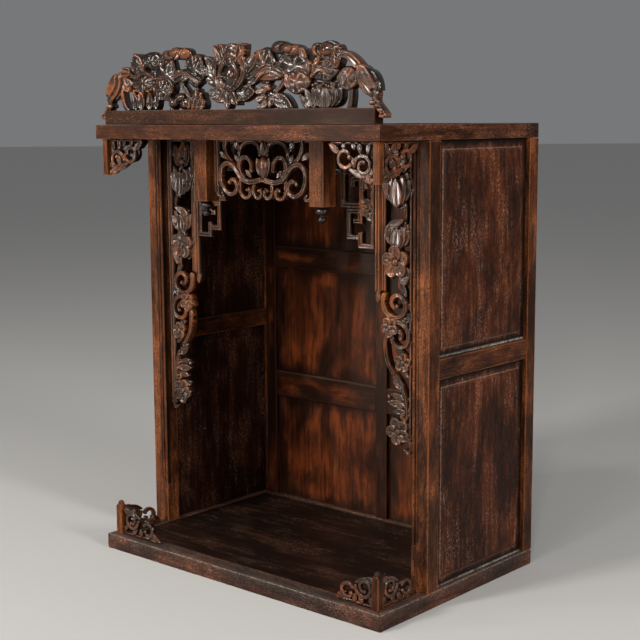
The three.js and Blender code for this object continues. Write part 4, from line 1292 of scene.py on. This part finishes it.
def crestRight(work):
    work.oval(157, 683, 46, 28, 0.55, lobes=5, wave=0.06, folds=7, deep=0.6)
    work.oval(57, 671, 44, 44, 0.68, rim=0.9, lobes=5, wave=0.06, folds=6, deep=0.9, turn=0.4)
    work.oval(106, 668, 62, 38, 0.70, rim=0.9, lobes=6, wave=0.06, folds=5, deep=0.9)
    work.oval(69, 661, 46, 18, 0.86, rim=0.8, dome=2.0, lobes=3, wave=0.07, turn=1.2)
    work.stem([(47, 655), (60, 663), (76, 664), (91, 657)], 6, 5, 0.95, 0.9)
    work.oval(114, 650, 42, 27, 0.88, rim=0.9, lobes=4, wave=0.07, folds=5, deep=0.9)
    work.petal(96, 662, 104, 641, 9, 0.95)
    for u, v, wide, high in ((108, 688, 28, 14), (84, 692, 26, 16), (98, 690, 20, 13)):
        work.oval(u, v, wide, high, 0.97, dome=3.5, rim=0.5)
    work.petal(118, 690, 130, 677, 11, 0.9)
    # a curled leaf, a veined leaf and the stem between them
    work.stem([(74, 638), (84, 645), (92, 654)], 6, 6, 0.6)
    work.oval(59, 632, 28, 30, 0.66, lobes=4, wave=0.08)
    leaves = ((72, 643, 54, 648), (66, 641, 46, 639), (67, 633, 44, 630), (70, 627, 49, 620),
              (74, 636, 70, 620))
    for leaf in leaves:
        work.petal(*leaf, 9.5, 0.92, dish=0.6, curl=0.8)
    work.petal(72, 634, 106, 620, 20, 0.8, ribs=7, rim=0.7)
    # the standing lotus with its stamens
    work.petal(132, 618, 116, 636, 10, 0.7)
    work.petal(142, 618, 125, 643, 12, 0.8, ribs=3)
    work.lotus(160, 634, 46, 34, 0.95)
    for i in range(9):
        work.ball(140 + 4.2 * i, 646 + 1.6 * math.sin(i * 1.9), 2.5, 0.86)
    # the outer leaf, rolled along its top, and the pod seen edge on
    work.oval(155, 663, 44, 26, 0.72, rim=0.8, lobes=5, wave=0.07, folds=8, deep=0.8)
    work.stem([(138, 657), (150, 664), (166, 660)], 5, 4, 0.88)
    work.oval(144, 687, 20, 17, 0.88, dome=3.0)
    work.oval(158, 687, 28, 16, 0.84, dome=3.0)
    work.petal(150, 680, 140, 668, 8, 0.85)
    work.oval(176, 678, 15.5, 29, 0.95, lean=-0.12, dome=1.2, rim=0.6)
    # the last leaf, its stalk, the arching neck and the drooping bud
    work.stem([(195, 648), (196.5, 634), (194, 618)], 6.4, 7, 0.66, 0.3)
    work.oval(192, 653, 33, 27, 0.78, rim=0.9, lobes=4, wave=0.05, folds=6, deep=0.7)
    work.petal(184, 660, 188, 644, 9, 0.9)
    work.stem([(181, 682), (192, 679), (203, 672), (213, 662)], 8.5, 10, 0.76, 0.9)
    bud(work, 1)


def crestLeft(work):
    work.oval(-151, 683, 42, 24, 0.55, lobes=5, wave=0.06, folds=7, deep=0.6)
    work.oval(-65, 669, 40, 42, 0.68, rim=0.9, lobes=5, wave=0.06, folds=6, deep=0.9, turn=1.1)
    work.oval(-121, 664, 46, 50, 0.70, rim=0.9, lobes=6, wave=0.05, folds=5, deep=0.9, turn=0.8)
    work.oval(-88, 662, 32, 18, 0.86, rim=0.8, dome=2.0, lobes=3, wave=0.07)
    work.stem([(-55, 654), (-68, 661), (-82, 666), (-99, 660)], 6, 5, 0.95, 0.9)
    work.oval(-125, 645, 35, 28, 0.88, rim=0.9, lobes=4, wave=0.07, folds=5, deep=0.9, turn=2.0)
    work.petal(-106, 657, -105, 640, 8, 0.95)
    for u, v, wide, high in ((-113, 689, 26, 14), (-82, 690, 24, 16), (-98, 692, 24, 14)):
        work.oval(u, v, wide, high, 0.97, dome=3.5, rim=0.5)
    work.petal(-122, 688, -124, 674, 10, 0.9)
    work.petal(-96, 683, -83, 696, 6, 1.0)
    # curled leaves that stand on the rail
    work.stem([(-90, 652), (-79, 641), (-72, 630)], 7, 6, 0.62)
    work.stem([(-120, 635), (-111, 632), (-107, 618)], 7, 6, 0.7)
    work.oval(-86, 627, 20, 16, 0.7, dome=2.0)
    work.oval(-93, 635, 20, 12, 0.85, dome=2.5, rim=0.5)
    work.oval(-105, 628, 16, 14, 0.92, dome=3.0)
    work.oval(-62, 632, 28, 26, 0.66, lobes=4, wave=0.08)
    for leaf in ((-74, 620, -70, 640), (-67, 618, -57, 646), (-60, 618, -48, 641), (-52, 618, -46, 632)):
        work.petal(*leaf, 10, 0.9, dish=0.6, curl=0.8)
    # the standing lotus
    for i in range(7):
        work.ball(-180 + 5.6 * i, 645 + 1.5 * math.sin(i * 2.3), 2.6, 0.8)
    petals = ((-140, -136, 643, 10, 0.75), (-178, -181, 643, 14, 0.8), (-150, -148, 642, 13, 0.88),
              (-164, -165, 645, 15, 0.97))
    for u0, u1, tall, wide, level in petals:
        work.petal(u0, 617, u1, tall, wide, level, belly=0.9)
    # the outer leaf with its bright curled edge, and the folds under it
    work.oval(-165, 655, 52, 20, 0.7, rim=0.8, lobes=4, wave=0.07, folds=8, deep=0.8)
    work.stem([(-184, 664), (-171, 663), (-160, 668), (-148, 665), (-138, 660)], 5, 4, 0.9)
    work.oval(-171, 679, 33, 27, 0.8, rim=0.7, lobes=3, wave=0.05, folds=7, deep=0.7)
    work.stem([(-174, 691.5), (-164, 687), (-159, 678), (-159, 671)], 4.6, 4.6, 1.0, 0.4)
    # the last leaf, its bent stalk, the arching neck and the drooping bud
    work.stem([(-206, 646), (-204, 634), (-200, 625), (-193, 618)], 6.6, 6.6, 0.72, 0.3)
    work.petal(-186, 664, -206, 677, 10, 0.66)
    work.petal(-190, 644, -208, 669, 17, 0.88, rim=1.0)
    work.petal(-184, 652, -196, 660, 9, 0.8)
    work.stem([(-192, 668), (-203, 668), (-213, 662)], 8, 10, 0.74, 0.9)
    bud(work, -1)


def bud(work, side):
    # a closed bud that hangs over the end of the rail, with a rough tuft at its tip
    for u0, v0, u1, v1, wide, level in ((203, 660, 224, 632, 13, 0.62), (222, 663, 239, 638, 12, 0.72),
                                        (207, 667, 230, 630, 17, 0.82), (213, 668, 236, 633, 14, 0.98)):
        work.petal(side * u0, v0, side * u1, v1, wide, level, dish=0.5, rim=1.0)
    work.stem([(side * 232, 636), (side * 232, 625), (side * 240, 616), (side * 247, 608)], 8, 7, 0.7, 0.2)
    for i in range(10):
        t, turn = i / 9, i * 2.4
        u, v = 228 + 19 * t + 2.6 * math.cos(turn), 625 - 17 * t + 2.6 * math.sin(turn)
        work.ball(side * u, v, 3.2 - 0.8 * t, 0.86)


def crestMiddle(work):
    # the leaf folded under the flower
    work.petal(-2, 637, -41, 640, 23, 0.66, ribs=4, rim=1.2)
    work.petal(4, 637, 42, 641, 22, 0.66, ribs=4, rim=1.2)
    work.petal(4, 645, -18, 628, 16, 0.84, rim=1.1)
    work.petal(-6, 645, 15, 624, 16, 0.92, rim=1.1)
    work.petal(-5, 643, -3, 619, 13, 0.86, rim=1.0)
    # side petals, then the seed head between its upright petals
    for side in (-1, 1):
        for u1, v1, wide, level in ((48, 657, 15, 0.58), (51, 671, 15, 0.64), (47, 686, 16, 0.70)):
            work.petal(side * 20, 652 + 0.3 * (v1 - 652), side * u1 + 1, v1, wide, level, rim=1.1)
    work.oval(1, 693, 24, 15, 0.62, dome=1.0, rim=1.0)
    for side in (-1, 1):
        work.petal(1 + side * 15, 669, 1 + side * 19, 701.5, 17, 0.80, rim=1.4, dish=2.2, belly=1.15)
        work.petal(1 + side * 13, 669, 1 + side * 27, 699, 9, 0.88, rim=1.0, curl=1.0)
    work.oval(1, 660, 52, 36, 0.62)
    work.oval(1, 680, 27, 21, 0.80, dome=1.6, rim=0.9)
    # the cup: two pairs of petals nest round the bud
    outer = [(23, 680), (25.5, 668), (22.5, 656), (12, 647), (0, 644.5)]
    inner = [(9, 675), (14.5, 666), (13.5, 656), (7, 649.5), (0, 648)]
    for side in (-1, 1):
        work.stem(onSide(side, outer), 8, 6.5, 0.84, 1.8, 50)
    for side in (-1, 1):
        work.stem(onSide(side, inner), 6.5, 5, 0.93, 1.5, 50)
    work.oval(1, 660, 17.5, 27, 1.0, dome=3.0)


def addCrest():
    work, _, high = carvingOf("crest_carving", crest["step"], crest["tone"])
    crestRight(work)
    crestLeft(work)
    crestMiddle(work)
    rail, gap = boxOf("crest_rail"), crest["gap"]
    work.keepOut(rail[0][0] - gap, -1e3, rail[1][0] + gap, rail[1][2] + gap)
    hang("crestCarving", work, ["crest_carving"], "x", crest["seed"], (0, high[1], 0))
    addSeeds(work, high[1])


seeds = {
    "radius": 1.7, "least": (0.8, 0.55, 0.8), "most": (1.1, 0.75, 1.1),  # scales of the smallest and largest
    "apart": 5.2, "rowHigh": 4.4, "rows": (3, 3, 2), "seed": 151, "bright": 0.3,
}


def addSeeds(work, backY):
    # lotus seeds stand in the middle flower's pod and along the pod that is seen edge on
    spots = []
    apart = seeds["apart"]
    for row, count in enumerate(seeds["rows"]):
        for i in range(-1, count - 1):
            spots.append((1 + apart * i + apart / 2 * (row % 2), 678.5 + seeds["rowHigh"] * row))
    spots += [(176 + 3.2 * math.sin(k * 1.9), 669 + 3.6 * k) for k in range(6)]
    top = work.finished()[2]
    points = []
    for u, v in spots:
        i, j = round((u - work.us[0]) / work.step), round((v - work.vs[0]) / work.step)
        points.append(np.array((u, backY - top[j, i] - 0.1, v)))
    sizes = {"Radius": seeds["radius"] * mm, "Least": seeds["least"], "Most": seeds["most"]}
    grow("lotusSeeds", points, [], seedTree, sizes, "z", seeds["seed"], seeds["bright"])


addCrest()
print("crest carved")

print("done")
